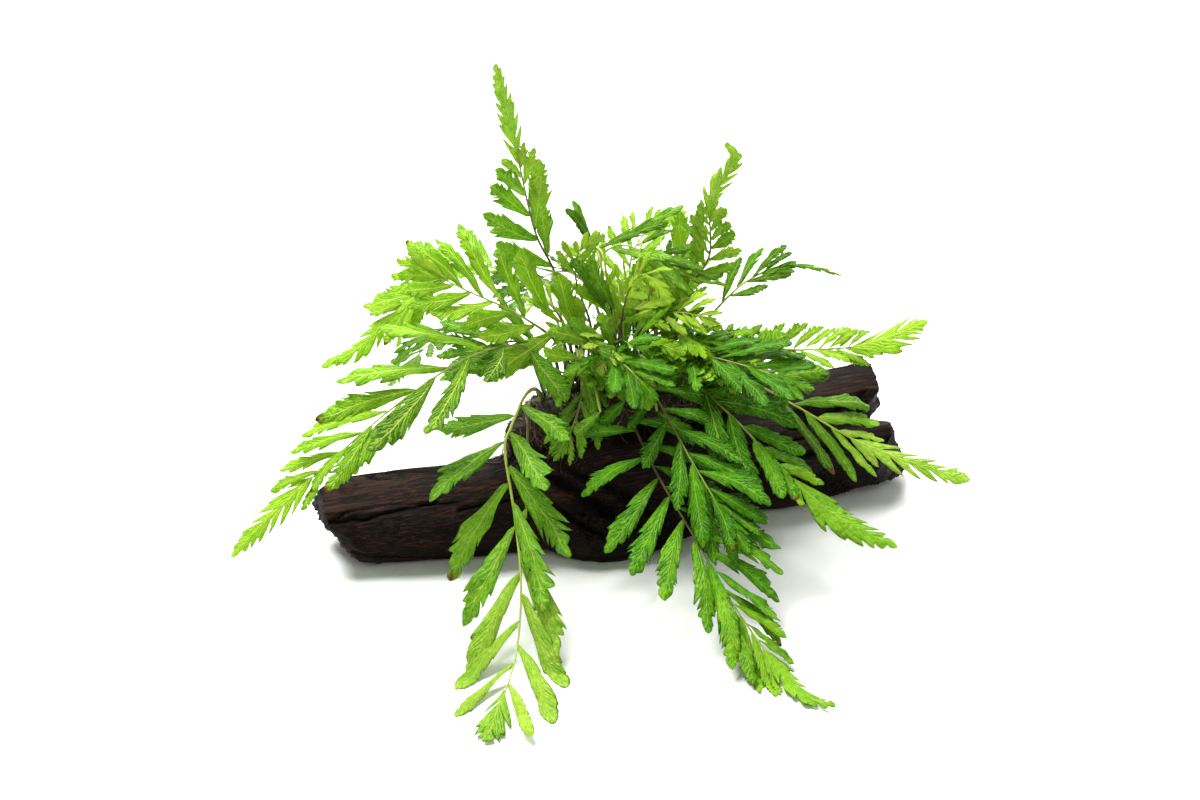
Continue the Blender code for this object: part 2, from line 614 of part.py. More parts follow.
def is_clear(points, tris, taken):
    """True where a skin, also moved a little up and down, meets nothing placed so far."""
    for shift in (Vector((0, 0, 0)), Vector((0, 0, GAP)), Vector((0, 0, -GAP))):
        tree = BVHTree.FromPolygons([p + shift for p in points], tris)
        if any(tree.overlap(other) for other in taken):
            return False
    return True


def tree_of(item):
    mesh = item.data
    points = [item.matrix_world @ v.co / MM for v in mesh.vertices]
    return BVHTree.FromPolygons(points, [tuple(p.vertices) for p in mesh.polygons])


def make_frond(name, plan, taken):
    """A stalk and a blade; returns how many leaflets found room."""
    blade = Blade(plan)
    bare = plan["bare"]
    gap = GAP / blade.route.length
    bm = bmesh.new()
    tube(bm, blade.route, 0.0, bare - gap, STALK_RADIUS, STALK_SIDES, 5)
    stalk = link_mesh(f"frond_{name}_stalk", bm, material("stalk", STALK_COLOUR, 0.5))
    taken.append(tree_of(stalk))
    verts, faces, placed = blade_mesh(blade, taken)
    bm = bmesh.new()
    made = [bm.verts.new(p) for p in verts]
    for face in faces:
        bm.faces.new([made[i] for i in face])
    bmesh.ops.triangulate(bm, faces=bm.faces)
    leaf = link_mesh(f"frond_{name}_blade", bm, material(f"leaf_{plan['tint']}", TINTS[plan["tint"]], 0.45))
    taken.append(tree_of(leaf))
    return placed


def main():
    for item in list(bpy.data.objects):
        bpy.data.objects.remove(item)
    trunk, upper, lower = make_driftwood()
    rhizome = make_rhizome()
    roots = make_root_mat(trunk, rhizome)
    taken = [tree_of(item) for item in (trunk, upper, lower, rhizome, roots)]
    for name, plan in FRONDS.items():
        placed = make_frond(name, plan, taken)
        print(name, "leaflets placed:", placed, "of", plan["leaflets"])


main()
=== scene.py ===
import json
import random
from math import cos, exp, hypot, pi, radians, sin, sqrt

import bmesh
import bpy
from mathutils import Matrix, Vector, noise
from mathutils.bvhtree import BVHTree

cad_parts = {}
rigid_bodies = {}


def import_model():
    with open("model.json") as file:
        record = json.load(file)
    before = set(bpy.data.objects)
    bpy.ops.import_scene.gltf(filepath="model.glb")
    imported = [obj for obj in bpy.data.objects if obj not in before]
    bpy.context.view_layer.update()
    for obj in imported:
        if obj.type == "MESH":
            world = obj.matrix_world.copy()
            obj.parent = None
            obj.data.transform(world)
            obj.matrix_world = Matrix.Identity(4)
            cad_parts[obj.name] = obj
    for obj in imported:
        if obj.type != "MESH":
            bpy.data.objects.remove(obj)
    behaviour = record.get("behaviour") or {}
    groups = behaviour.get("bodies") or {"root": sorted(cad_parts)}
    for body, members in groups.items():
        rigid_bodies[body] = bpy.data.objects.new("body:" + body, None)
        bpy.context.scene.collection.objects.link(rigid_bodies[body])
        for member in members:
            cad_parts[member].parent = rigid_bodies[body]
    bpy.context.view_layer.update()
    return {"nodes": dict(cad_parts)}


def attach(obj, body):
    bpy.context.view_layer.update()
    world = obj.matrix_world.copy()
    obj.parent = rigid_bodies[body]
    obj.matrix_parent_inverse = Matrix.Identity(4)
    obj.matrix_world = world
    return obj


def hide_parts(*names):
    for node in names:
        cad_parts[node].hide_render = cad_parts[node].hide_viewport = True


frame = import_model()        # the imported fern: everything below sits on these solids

scene = bpy.context.scene
mm = 0.001
print("frame loaded:", len(frame["nodes"]), "nodes")


# Camera. Lengths are in millimetres, as the photograph was read.
view = dict(target=(-4.2, 0.0, 53.3), distance=1000.0, elevation=28.0, lens=71.43, sensor=36.0)


def makeCamera():
    lens = bpy.data.cameras.new("camera")
    lens.lens, lens.sensor_width = view["lens"], view["sensor"]
    camera = linked("camera", lens)
    lift = radians(view["elevation"])
    away = Vector((0, -cos(lift), sin(lift)))
    camera.location = Vector(view["target"]) * mm + view["distance"] * mm * away
    camera.rotation_euler = (pi / 2 - lift, 0, 0)
    scene.camera = camera


def toLinear(hexText):
    # a colour as the shaders want it, from its sRGB hex
    values = [int(hexText[i:i + 2], 16) / 255 for i in (1, 3, 5)]
    return tuple(v / 12.92 if v <= 0.04045 else ((v + 0.055) / 1.055) ** 2.4 for v in values) + (1.0,)


def nodeAdder(tree):
    # a function that adds one node to the tree: its settings, then its sockets, by name or in order,
    # each a value, a socket to link or another node, whose first open output is linked
    family = "ShaderNode" if tree.type == "SHADER" else "GeometryNode"

    def add(kind, values=(), **settings):
        node = tree.nodes.new(kind if "Node" in kind else family + kind)
        for name, value in settings.items():
            setattr(node, name, value)
        for key, value in values.items() if isinstance(values, dict) else enumerate(values):
            if isinstance(value, bpy.types.Node):
                value = next(socket for socket in value.outputs if socket.enabled)
            if isinstance(value, bpy.types.NodeSocket):
                tree.links.new(value, node.inputs[key])
            else:
                node.inputs[key].default_value = value
        return node

    return add


def newMaterial(name, *marks):
    # an empty material, its node adder, where a point is on the piece, and the mesh's named marks
    material = bpy.data.materials.new(name)
    material.use_nodes = True
    material.node_tree.nodes.clear()
    add = nodeAdder(material.node_tree)
    return (material, add, add("TexCoord").outputs["Object"],
            *(add("Attribute", attribute_name=mark).outputs["Fac"] for mark in marks))


def paintRamp(ramp, low, high, middle):
    # the places and colours of a ramp's two ends and of its middle
    elements = ramp.color_ramp.elements
    for element, (spot, tint) in zip(elements, (low, high)):
        element.position, element.color = spot, toLinear(tint)
    elements.new(middle[0]).color = toLinear(middle[1])
    return ramp


def blend(pair, share):
    return pair[0] + (pair[1] - pair[0]) * share


def smooth(share):
    share = min(max(share, 0.0), 1.0)
    return share * share * (3 - 2 * share)


def catmull(points, share):
    # a point on the smooth curve through a list of rows
    spans = len(points) - 1
    span = min(int(share * spans), spans - 1)
    t = share * spans - span
    a, b = points[max(span - 1, 0)], points[span]
    c, d = points[span + 1], points[min(span + 2, spans)]
    return [0.5 * (2 * q + (r - p) * t + (2 * p - 5 * q + 4 * r - s) * t ** 2
                   + (3 * q - p - 3 * r + s) * t ** 3) for p, q, r, s in zip(a, b, c, d)]


class Route:
    # a smooth curve through given points, read by its share of length

    def __init__(self, points, samples=120):
        self.points = [Vector(catmull(points, i / samples)) for i in range(samples + 1)]
        self.reach = [0.0]
        for a, b in zip(self.points, self.points[1:]):
            self.reach.append(self.reach[-1] + (b - a).length)
        self.length = self.reach[-1]

    def at(self, share):
        target = min(max(share, 0.0), 1.0) * self.length
        for i in range(1, len(self.points)):
            if self.reach[i] >= target:
                step = self.reach[i] - self.reach[i - 1]
                return self.points[i - 1].lerp(self.points[i], (target - self.reach[i - 1]) / step)
        return self.points[-1].copy()

    def along(self, share):
        step = 1.5 / self.length
        return (self.at(share + step) - self.at(share - step)).normalized()


def meshFrom(bm, name):
    mesh = bpy.data.meshes.new(name)
    bm.to_mesh(mesh)
    bm.free()
    return mesh


def linked(name, data):
    piece = bpy.data.objects.new(name, data)
    scene.collection.objects.link(piece)
    return piece


def runModifiers(piece):
    # what the modifiers make becomes the piece's own plain mesh
    graph = bpy.context.evaluated_depsgraph_get()
    mesh = bpy.data.meshes.new_from_object(piece.evaluated_get(graph))
    name = piece.name
    bpy.data.objects.remove(piece)
    return linked(name, mesh)


def runTree(piece, tree, inputs):
    # a Geometry Nodes modifier with its inputs set by identifier, then made plain
    modifier = piece.modifiers.new(tree.name, "NODES")
    modifier.node_group = tree
    for item in tree.interface.items_tree:
        if item.item_type == "SOCKET" and item.in_out == "INPUT" and item.name in inputs:
            modifier[item.identifier] = inputs[item.name]
    return runModifiers(piece)


def newTree(name, sockets):
    # a geometry tree with named inputs, its node adder, and the inputs as sockets to link
    tree = bpy.data.node_groups.new(name, "GeometryNodeTree")
    for label, (kind, *value) in ({"Geometry": ["Geometry"]} | sockets).items():
        socket = tree.interface.new_socket(label, in_out="INPUT", socket_type=f"NodeSocket{kind}")
        if value:
            socket.default_value = value[0]
    tree.interface.new_socket("Geometry", in_out="OUTPUT", socket_type="NodeSocketGeometry")
    add = nodeAdder(tree)
    return tree, add, add("NodeGroupInput").outputs


def addRipple(add, shape, size, amount):
    # moves every point of the shape by a soft noise
    cloud = add("ShaderNodeTexNoise", {"Scale": size, "Detail": 1.0}).outputs["Color"]
    shifted = add("ShaderNodeVectorMath", [cloud, (0.5, 0.5, 0.5)], operation="SUBTRACT")
    ripple = add("ShaderNodeVectorMath", {0: shifted, "Scale": amount}, operation="SCALE")
    return add("SetPosition", {"Geometry": shape, "Offset": ripple})


def closeTree(add, shape, material, smoothed=True):
    # the shape gets its shading and material and leaves the tree
    if smoothed:
        shape = add("SetShadeSmooth", [shape])
    add("NodeGroupOutput", [add("SetMaterial", {"Geometry": shape, "Material": material})])


# Leaf tissue: a wet, thin blade that glows where the light comes through it.
# The tones are partly the leaves' own greens and partly painted light and shade: bright for backlit leaves,
# deep for leaves in shade, each a copy of one material.
leafTones = {
    "bright": dict(light="#b8e03a", blade="#7cc008", deep="#286c02", vein="#e2f068", glow="#c0ea1c",
                   dim="#4a9602", glowShare=0.47, net=0.14, veins=0.9, specular=0.24),
    "fresh": dict(light="#bcd84c", blade="#68ae10", deep="#1e5c02", vein="#cce660", glow="#b6dc28",
                  dim="#3e8606", glowShare=0.42, net=0.1, veins=0.6, specular=0.26),
    "deep": dict(light="#8cbe22", blade="#3a8004", deep="#103a02", vein="#90c834", glow="#70b80a",
                 dim="#266402", glowShare=0.26, net=0.08, veins=0.7, specular=0.18),
}


def makeLeafMaterial(name, tone):
    # fresh fern leaf, film-wet: soft gloss, pale midrib and side veins, light through the blade
    material, add, place, phase, cross, out, shade, rust = newMaterial(
        name, "phase", "cross", "out", "shade", "rust")
    stray, patch, mottle, speck, crinkle = [
        add("TexNoise", {"Vector": place, "Scale": scale, "Detail": detail})
        for scale, detail in ((260.0, 2.0), (85.0, 3.0), (520.0, 3.0), (500.0, 2.0), (380.0, 3.0))]

    # side veins: one to each tooth and a finer one between, half a tooth apart on the two sides
    rightSide = add("Math", [cross, 0.0], operation="GREATER_THAN")
    span = add("Math", [cross], operation="ABSOLUTE")
    spot = phase
    for part, share in ((stray, 1.2), (span, -0.6), (rightSide, 0.5)):
        spot = add("Math", [part, share, spot], operation="MULTIPLY_ADD")
    doubled = add("Math", [spot, 2.0], operation="MULTIPLY")
    inTooth = add("Math", [doubled], operation="FRACT")
    fromVein = add("Math", [inTooth, 0.5], operation="SUBTRACT")
    fromVein = add("Math", [fromVein], operation="ABSOLUTE")
    sideVein = add("MapRange", [fromVein, 0.02, 0.16, 1.0, 0.0])
    midrib = add("MapRange", [span, 0.02, 0.08, 1.0, 0.0])
    fade = add("MapRange", [span, 0.1, 0.95, 0.9, 0.35])
    sideVein = add("Math", [sideVein, fade], operation="MULTIPLY")
    veins = add("Math", [sideVein, midrib], operation="MAXIMUM")

    # the net of finest veins, cells about 1 mm wide; tone in patches of about 12 mm; rusty tips
    net = add("TexVoronoi", {"Vector": place, "Scale": 950.0}, feature="DISTANCE_TO_EDGE")
    netLine = add("MapRange", [net, 0.02, 0.16, 1.0, 0.0])
    # the tone starts from the shade mark, which carries painted light and painted shade from the plans, then
    # random patches and mottle
    toned = shade
    for part, share in ((patch, 1.0), (mottle, 1.4)):
        toned = add("Math", [part, share, toned], operation="MULTIPLY_ADD")
    toned = add("MapRange", [toned, 0.3, 2.1])
    tip = add("Math", [out, rust], operation="ADD")
    tip = add("Math", [speck, 0.18, tip], operation="MULTIPLY_ADD")
    dying = add("MapRange", [tip, 1.12, 1.2])
    netShare = add("Math", [netLine, tone["net"]], operation="MULTIPLY")
    veinShare = add("Math", [veins, tone["veins"]], operation="MULTIPLY")
    ramp = add("ValToRGB", [toned])
    body = paintRamp(ramp, (0.0, tone["light"]), (1.0, tone["deep"]), (0.5, tone["blade"]))
    glow = add("Mix", {0: toned, 6: toLinear(tone["glow"]), 7: toLinear(tone["dim"])}, data_type="RGBA")
    for share, tint in ((netShare, tone["vein"]), (veinShare, tone["vein"]), (dying, "#7a4418")):
        body, glow = [add("Mix", {0: share, 6: under, 7: toLinear(tint)}, data_type="RGBA")
                      for under in (body, glow)]

    # the blade swells between sunken side veins, the midrib stands proud
    relief = add("Math", [fromVein, 1.6], operation="MULTIPLY")
    for part, share in ((crinkle, 2.6), (netLine, -0.3), (midrib, 0.5)):
        relief = add("Math", [part, share, relief], operation="MULTIPLY_ADD")
    bump = add("Bump", {"Height": relief, "Strength": 0.7, "Distance": 0.0005})
    wet = add("MapRange", [patch, 0.0, 1.0, 0.2, 0.36])
    skin = add("BsdfPrincipled", {"Base Color": body, "Roughness": wet, "Normal": bump, "IOR": 1.42,
                                  "Specular IOR Level": tone["specular"]})
    through = add("BsdfTranslucent", {"Color": glow, "Normal": bump})
    add("OutputMaterial", [add("MixShader", [tone["glowShare"], skin, through])])
    return material


# Fronds, as the solids have them. root: share of the creeping stem where one rises. bare, tail: shares of
# the route without leaflets and of the end that is one sheet. width: share of the length. fade: deeper
# above 0, first to last leaflet, partly the frond's own tone and partly painted light and painted shade.
# face: where the blade looks. route: its points in millimetres. lengths, angles: of the left and the right
# leaflets, first to last. What only some have: form, of the leaflets below; endForm, the form past the
# share endFrom; fall, how much closer the last ones sit; sides, painted shade on the left and the right
# leaflets, painted light below 0; rust, the share of rusty ones; widen, wider ones at the foot; slim, width
# on the left and the right; tailStep, tailHalf, tailShade, tipRust, of the sheet: tooth, half width,
# tone with painted shade, rust; thick and green, of the stalk.
usual = dict(form="crenate", fall=0.55, endFrom=1.0, sides=(0.0, 0.0), rust=0.08, widen=0.0,
             slim=(1.0, 1.0), tailStep=5.6, tailHalf=5.0, tipRust=0.0, thick=1.0, green=0.0)
frondKeys = "root bare tail leaflets width tone fade face route lengths angles".split()
fronds = {
    "tall_left": (0.29, 0.31, 0.34, 10, 0.4, "fresh", (0.0, -0.45), (0.25, -0.95, 0.25),
        [(-16, 4, 86), (-23, 8, 109), (-31, 10, 127), (-38, 6, 165), (-45, -4, 204)],
        ((24, 28, 25, 18, 13), (23, 26, 23, 17, 12)), ((44, 36, 28, 22), (26, 26, 26, 22)),
        dict(form="lobed", tailHalf=4.6, tailStep=6.5)),
    "tall_right": (0.74, 0.3, 0.36, 15, 0.38, "fresh", (-0.3, -0.5), (-0.25, -0.95, 0.2),
        [(27, 12, 81), (33, 15, 98), (41, 15, 113), (41, 10, 138), (49, 4, 159), (46, 1, 169)],
        ((12, 16, 14, 10), (13, 16, 15, 10)), ((40, 40, 30, 22), (42, 42, 34, 24)), dict(tailStep=6.0,
        tipRust=0.03, tailHalf=4.6)),
    "tall_right_back": (0.65, 0.3, 0.3, 10, 0.34, "bright", (0.0, 0.0), (0.2, -0.8, 0.5),
        [(19, 18, 76), (23, 26, 90), (28, 36, 106), (30, 42, 122)],
        ((12, 15, 12, 10), (12, 15, 13, 10)), ((38, 30), (42, 32)), {}),
    "upper_left": (0.2, 0.34, 0.17, 11, 0.29, "bright", (-0.1, -0.3), (0.2, -0.6, 0.75),
        [(-21, -10, 84), (-37, -18, 102), (-56, -24, 115), (-72, -27, 125), (-84, -28, 131)],
        ((26, 28, 26, 20), (28, 33, 28, 23, 19)), ((36, 34, 30, 28), (48, 44, 36, 20, 14)), dict(rust=0.2,
        green=0.35)),
    # long_left: sides paint shade on its left leaflets, which twist into shade, and a little light on its
    # right ones
    "long_left": (0.14, 0.22, 0.24, 14, 0.27, "bright", (0.2, -0.3), (0.15, -0.4, 0.9),
        [(-27, -16, 80), (-39, -26, 92), (-58, -42, 94), (-83, -60, 84), (-109, -76, 67), (-134, -88, 47),
         (-148, -94, 34)],
        ((31, 41, 38, 31, 22, 16), (40, 43, 39, 32, 26, 20)), ((44, 26, 14, 18, 18, 18),
        (38, 32, 28, 28, 33, 30)), dict(sides=(0.7, -0.2), rust=0.25, green=0.35, tailHalf=5.6,
        tailStep=6.5)),
    "left_mid": (0.17, 0.32, 0.2, 10, 0.32, "fresh", (0.2, 0.0), (0.3, -0.5, 0.8),
        [(-24, -5, 78), (-36, -10, 86), (-52, -14, 85), (-66, -17, 76)],
        ((24, 28, 24, 17), (22, 26, 23, 16)), ((34, 26, 22), (44, 34, 30)), {}),
    "back_left": (0.24, 0.38, 0.28, 12, 0.3, "bright", (0.1, -0.25), (0.1, -0.5, 0.85),
        [(-18, 14, 78), (-27, 26, 88), (-44, 44, 92), (-65, 54, 90), (-90, 58, 70), (-110, 54, 51),
         (-127, 48, 44)],
        ((26, 32, 32, 26, 20), (26, 33, 33, 28, 18)), ((36, 30, 28), (34, 26, 24)), dict(rust=0.2,
        green=0.45, tailHalf=5.5, tailStep=6.5)),
    # front_left: tailShade paints shade on its sheet, darker than its last leaflets
    "front_left": (0.08, 0.145, 0.15, 15, 0.17, "fresh", (0.45, -0.8), (-0.1, -0.7, 0.7),
        [(-31, -16, 67), (-35, -31, 71), (-40, -48, 66), (-42, -58, 62), (-38, -76, 43), (-35, -98, 26),
         (-36, -118, 9), (-40, -142, 4), (-46, -170, 3)],
        ((30, 40, 46, 44, 40, 34), (26, 36, 42, 44, 42, 38, 30)), ((62, 38, 14, 14, 24, 29),
        (84, 42, 44, 34, 28, 34, 36)), dict(form="lobed", green=0.55, widen=1.1, tailHalf=6.5, tailStep=8.0,
        fall=-0.55, thick=1.2, endForm="smooth", endFrom=0.62, tailShade=-0.2)),
    "front_small": (0.26, 0.34, 0.22, 7, 0.32, "fresh", (0.3, 0.0), (-0.1, -0.8, 0.6),
        [(-12, -16, 74), (-12, -27, 68), (-16, -33, 57), (-23, -37, 45)],
        ((16, 19, 16, 12),) * 2, ((40, 30, 26), (34, 28, 24)), dict(form="lobed")),
    "front_middle_left": (0.34, 0.28, 0.2, 8, 0.34, "deep", (0.1, 0.0), (0.1, -0.6, 0.8),
        [(-4, -11, 79), (0, -21, 85), (8, -32, 84), (19, -43, 76)],
        ((20, 24, 22, 15),) * 2, ((42, 30), (46, 34)), {}),
    "front_right": (0.38, 0.16, 0.22, 24, 0.19, "deep", (0.3, -0.75), (0.2, -0.6, 0.75),
        [(1, -15, 68), (9, -32, 60), (20, -54, 46), (34, -76, 31), (48, -100, 16), (63, -124, 5),
         (73, -142, 3), (84, -150, 3)],
        ((24, 36, 40, 36, 30, 24, 16), (22, 36, 41, 41, 42, 36, 24)), ((60, 46, 38, 26, 20, 18),
        (118, 72, 52, 25, 18, 20, 20)), dict(widen=0.45, tailHalf=4.4, fall=0.35)),
    "front_middle": (0.47, 0.2, 0.18, 14, 0.28, "deep", (0.3, 0.0), (0.1, -0.6, 0.8),
        [(11, -12, 72), (20, -28, 67), (30, -47, 56), (41, -65, 44), (55, -84, 29)],
        ((15, 28, 32, 27, 20), (20, 28, 32, 30, 20)), ((40, 38, 34, 30), (66, 44, 24, 18, 20)), {}),
    "right_low": (0.56, 0.2, 0.36, 10, 0.26, "deep", (0.7, -0.6), (0.1, -0.55, 0.85),
        [(19, -6, 73), (32, -18, 73), (52, -36, 62), (71, -54, 48), (90, -66, 36), (114, -76, 27)],
        ((31, 32, 28, 24, 20, 16), (37, 39, 34, 28, 22, 15)), ((38, 30, 24, 24, 28, 28),
        (38, 28, 22, 18, 18, 22)), dict(form="broad", green=0.25, tailHalf=7.0, tailStep=8.5)),
    "right_middle": (0.69, 0.22, 0.18, 12, 0.28, "deep", (0.3, -0.1), (0.1, -0.6, 0.8),
        [(26, -2, 76), (40, -16, 82), (60, -28, 82), (82, -36, 77)],
        ((24, 29, 28, 22, 15), (24, 30, 30, 24, 15)), ((40, 32, 28, 28), (46, 34, 24, 22)), {}),
    "right_far": (0.8, 0.26, 0.38, 8, 0.25, "fresh", (0.75, -0.45), (0.1, -0.5, 0.85),
        [(39, 3, 69), (54, -4, 67), (78, -13, 57), (102, -22, 46), (129, -30, 38), (148, -36, 35)],
        ((28, 31, 28, 22, 15), (33, 35, 32, 24, 15)), ((40, 34, 32, 28, 22), (34, 28, 24, 22, 24)),
        dict(form="smooth", green=0.6, tailHalf=6.4, tailStep=8.5, endForm="broad", endFrom=0.4,
        slim=(1.15, 0.62))),
    "right_level": (0.9, 0.2, 0.34, 17, 0.32, "bright", (-0.1, -0.4), (-0.1, -0.6, 0.8),
        [(46, 15, 68), (59, 15, 71), (81, 12, 71), (107, 9, 75), (132, 6, 87)],
        ((13, 16, 17, 15, 11), (14, 17, 17, 12)), ((58, 50, 42, 36, 32), (36, 30, 26, 26)),
        dict(form="lobed", green=0.4, tailHalf=7.0, tailStep=6.0)),
    "upper_right": (0.84, 0.34, 0.34, 8, 0.24, "fresh", (0.35, 0.3), (-0.2, -0.8, 0.6),
        [(36, 18, 74), (44, 22, 84), (58, 27, 96), (76, 28, 103), (98, 20, 101)],
        ((20, 22, 17, 11), (17, 19, 15, 10)), ((24, 18, 12), (32, 24, 14)), dict(tailHalf=1.6, tailStep=8.0,
        green=0.5)),
    "back_arch": (0.49, 0.4, 0.22, 8, 0.17, "fresh", (0.1, 0.0), (0.1, -0.5, 0.85),
        [(0, 18, 82), (-6, 27, 102), (5, 24, 114), (24, 14, 109), (37, 8, 105), (50, 3, 106)],
        ((25, 29, 23, 14), (34, 33, 24, 14)), ((60, 22, 12, 24), (38, 28, 20, 24)), dict(form="smooth",
        tailHalf=1.5, tailStep=8.0, tipRust=0.14, green=0.5)),
    "middle_bright": (0.44, 0.25, 0.2, 13, 0.25, "bright", (-0.5, -0.8), (-0.3, -0.6, 0.7),
        [(4, 0, 86), (7, -6, 106), (14, -14, 118), (24, -22, 108)],
        ((13, 17, 15, 11),) * 2, ((40, 28), (44, 32)), {}),
    "middle_right": (0.54, 0.25, 0.2, 13, 0.25, "bright", (-0.5, -0.8), (-0.2, -0.6, 0.8),
        [(12, 6, 82), (20, 2, 92), (33, -5, 96), (46, -12, 92)],
        ((13, 17, 15, 11),) * 2, ((40, 28), (44, 32)), {}),
    "middle_left": (0.33, 0.28, 0.22, 12, 0.24, "fresh", (-0.5, -0.8), (0.3, -0.8, 0.4),
        [(-8, 8, 84), (-14, 10, 104), (-12, 6, 120), (-2, -2, 130)],
        ((14, 17, 15, 11),) * 2, ((38, 28), (42, 30)), {}),
    "back_middle": (0.39, 0.28, 0.2, 12, 0.27, "fresh", (0.5, 0.3), (0.1, 0.6, 0.8),
        [(-4, 22, 80), (-12, 42, 90), (-24, 66, 82), (-38, 92, 60), (-47, 112, 38)],
        ((24, 31, 30, 26, 15),) * 2, ((40, 26), (44, 28)), {}),
    "back_right": (0.78, 0.28, 0.2, 12, 0.27, "fresh", (0.5, 0.3), (0.0, 0.5, 0.85),
        [(34, 27, 74), (44, 42, 66), (60, 58, 48), (78, 72, 28), (92, 82, 14)],
        ((24, 30, 29, 25, 15),) * 2, ((40, 26), (44, 28)), {}),
    "back_up": (0.6, 0.27, 0.2, 13, 0.25, "bright", (-0.2, -0.5), (0.2, -0.6, 0.7),
        [(10, 24, 86), (9, 40, 100), (18, 56, 108), (34, 68, 110)],
        ((15, 19, 18, 15, 11),) * 2, ((38, 28), (42, 30)), {}),
    "back_far_left": (0.09, 0.3, 0.2, 10, 0.27, "fresh", (0.2, 0.0), (0.0, 0.4, 0.9),
        [(-36, 14, 72), (-52, 34, 72), (-72, 54, 58), (-90, 68, 36), (-100, 76, 20)],
        ((24, 29, 27, 21, 15),) * 2, ((40, 28),) * 2, {}),
}

# Leaflet forms: teeth on a side, rows of points to a tooth, depth of the notches, lean of the side
# veins, how many are made, and the outline from foot to tip. leaflet: half width of one that is one
# unit long, places and thickness across it, and what all leaflets share.
leafForms = {
    "crenate": dict(teeth=7, rows=6, cut=0.34, lean=1.9, variants=7,
                    profile=[0.26, 0.52, 0.8, 0.95, 1.0, 0.96, 0.84, 0.66, 0.42]),
    "lobed": dict(teeth=5, rows=7, cut=0.4, lean=2.1, variants=6,
                  profile=[0.24, 0.5, 0.78, 0.96, 1.0, 0.92, 0.76, 0.58, 0.36]),
    "smooth": dict(teeth=6, rows=6, cut=0.14, lean=1.6, variants=6,
                   profile=[0.3, 0.5, 0.7, 0.86, 0.96, 1.0, 0.98, 0.86, 0.64]),
    "broad": dict(teeth=5, rows=6, cut=0.22, lean=1.6, variants=6,
                  profile=[0.66, 0.8, 0.9, 0.97, 1.0, 0.98, 0.92, 0.78, 0.5]),
}
leaflet = dict(half=0.15, across=(0.45, 0.8), thickness=0.011, roundTip=0.13, seed=11, sweep=0.08,
               droop=0.1, rise=6.0, floorAir=0.5, lastRow=0.985, toothTop=0.82, mostTeeth=40)
tail = dict(rows=8, lean=1.9, cut=(0.7, 0.5), thickness=0.35, fullness=2.8, roundTip=0.08,
            profile=[0.7, 1.0, 0.97, 0.9, 0.8, 0.7, 0.58, 0.44, 0.28])
creepingStem = dict(route=[(-33, -9, 54), (-16, -3, 59), (4, 3, 61), (24, 8, 59), (47, 14, 54)],
                    radius=3.3, gap=0.3, voxel=0.5)
stalk = dict(radius=(0.85, 0.6), ribRadius=(0.55, 0.2), step=2.2, sunk=0.3, sides=8,
             loneRadius=(0.7, 0.5), loneSteps=14)


def toothShape(phase, fullness):
    # 1 at the tip of a tooth, 0 in the notch beyond it; the back of a tooth is rounded
    f, top = phase % 1.0, leaflet["toothTop"]
    return 1 - (1 - f / top) ** fullness if f < top else (1 - f) / (1 - top)


def leafSheet(bm, layers, rows, frameAt, halfAt, cutAt, biteAt, phaseAt, leanAt, thickness, relief,
              fullness=1.8):
    # a closed thin blade: each row is a V of points that leans forward from the midrib
    marks = []
    for k in range(rows):
        u = k / (rows - 1) * leaflet["lastRow"]
        middle, ahead, up, right = frameAt(u)
        phase = phaseAt(u)
        upper = []
        for side in (-1, 1):
            tooth = toothShape(phase + (0.5 if side > 0 else 0.0), fullness)
            half = halfAt(u, side) * (1 - cutAt(u) * biteAt(phase, side) * (1 - tooth))
            lean = leanAt(u) * half
            arm = []
            for v in leaflet["across"] + (1.0,):
                bend = relief(u, v * side, phase, half)
                arm.append((v * side, middle + ahead * lean * v + right * side * half * v + up * bend))
            upper.append(arm)
        line = upper[0][::-1] + [(0.0, middle + up * relief(u, 0.0, phase, 0.0))] + upper[1]
        thick = [0.5 * thickness * (1 - 0.55 * abs(v)) if abs(v) < 1 else 0.0 for v, p in line]
        ring = [(v, p + up * t) for (v, p), t in zip(line, thick)]
        ring += [(v, p - up * t) for (v, p), t in list(zip(line, thick))[-2:0:-1]]
        marks.append([addPoint(bm, layers, p, cross=v, phase=phase, out=u) for v, p in ring])
    count = len(marks[0])
    for row, after in zip(marks, marks[1:]):
        for i in range(count):
            j = (i + 1) % count
            bm.faces.new((row[i], row[j], after[j], after[i]))
    bm.faces.new(marks[0][::-1])
    tip = addPoint(bm, layers, frameAt(1.0)[0], phase=phaseAt(1.0), out=1.0)
    last = marks[-1]
    for i in range(count):
        bm.faces.new((last[i], last[(i + 1) % count], tip))


def unevenBites(rng):
    # how deep each notch goes, from tooth to tooth
    depths = [rng.uniform(0.15, 1.85) for _ in range(2 * leaflet["mostTeeth"])]

    def biteAt(phase, side):
        spot = phase + (0.5 if side > 0 else 0.0)
        first = int(spot) + (leaflet["mostTeeth"] if side > 0 else 0)
        return blend((depths[first], depths[first + 1]), spot % 1.0)

    return biteAt


def leafLayers(bm, seats=True):
    # what each point of a leaf carries: where it is on the leaflet, and for a seat how one sits there
    names = ("phase", "cross", "out") + (("shade", "rust", "seat") if seats else ())
    layers = {name: bm.verts.layers.float.new(name) for name in names}
    if seats:
        layers |= {name: bm.verts.layers.float_vector.new(name) for name in ("way", "up", "sag", "stretch")}
    return layers


def addPoint(bm, layers, place, **marks):
    vert = bm.verts.new(place)
    for name, value in marks.items():
        vert[layers[name]] = value
    return vert


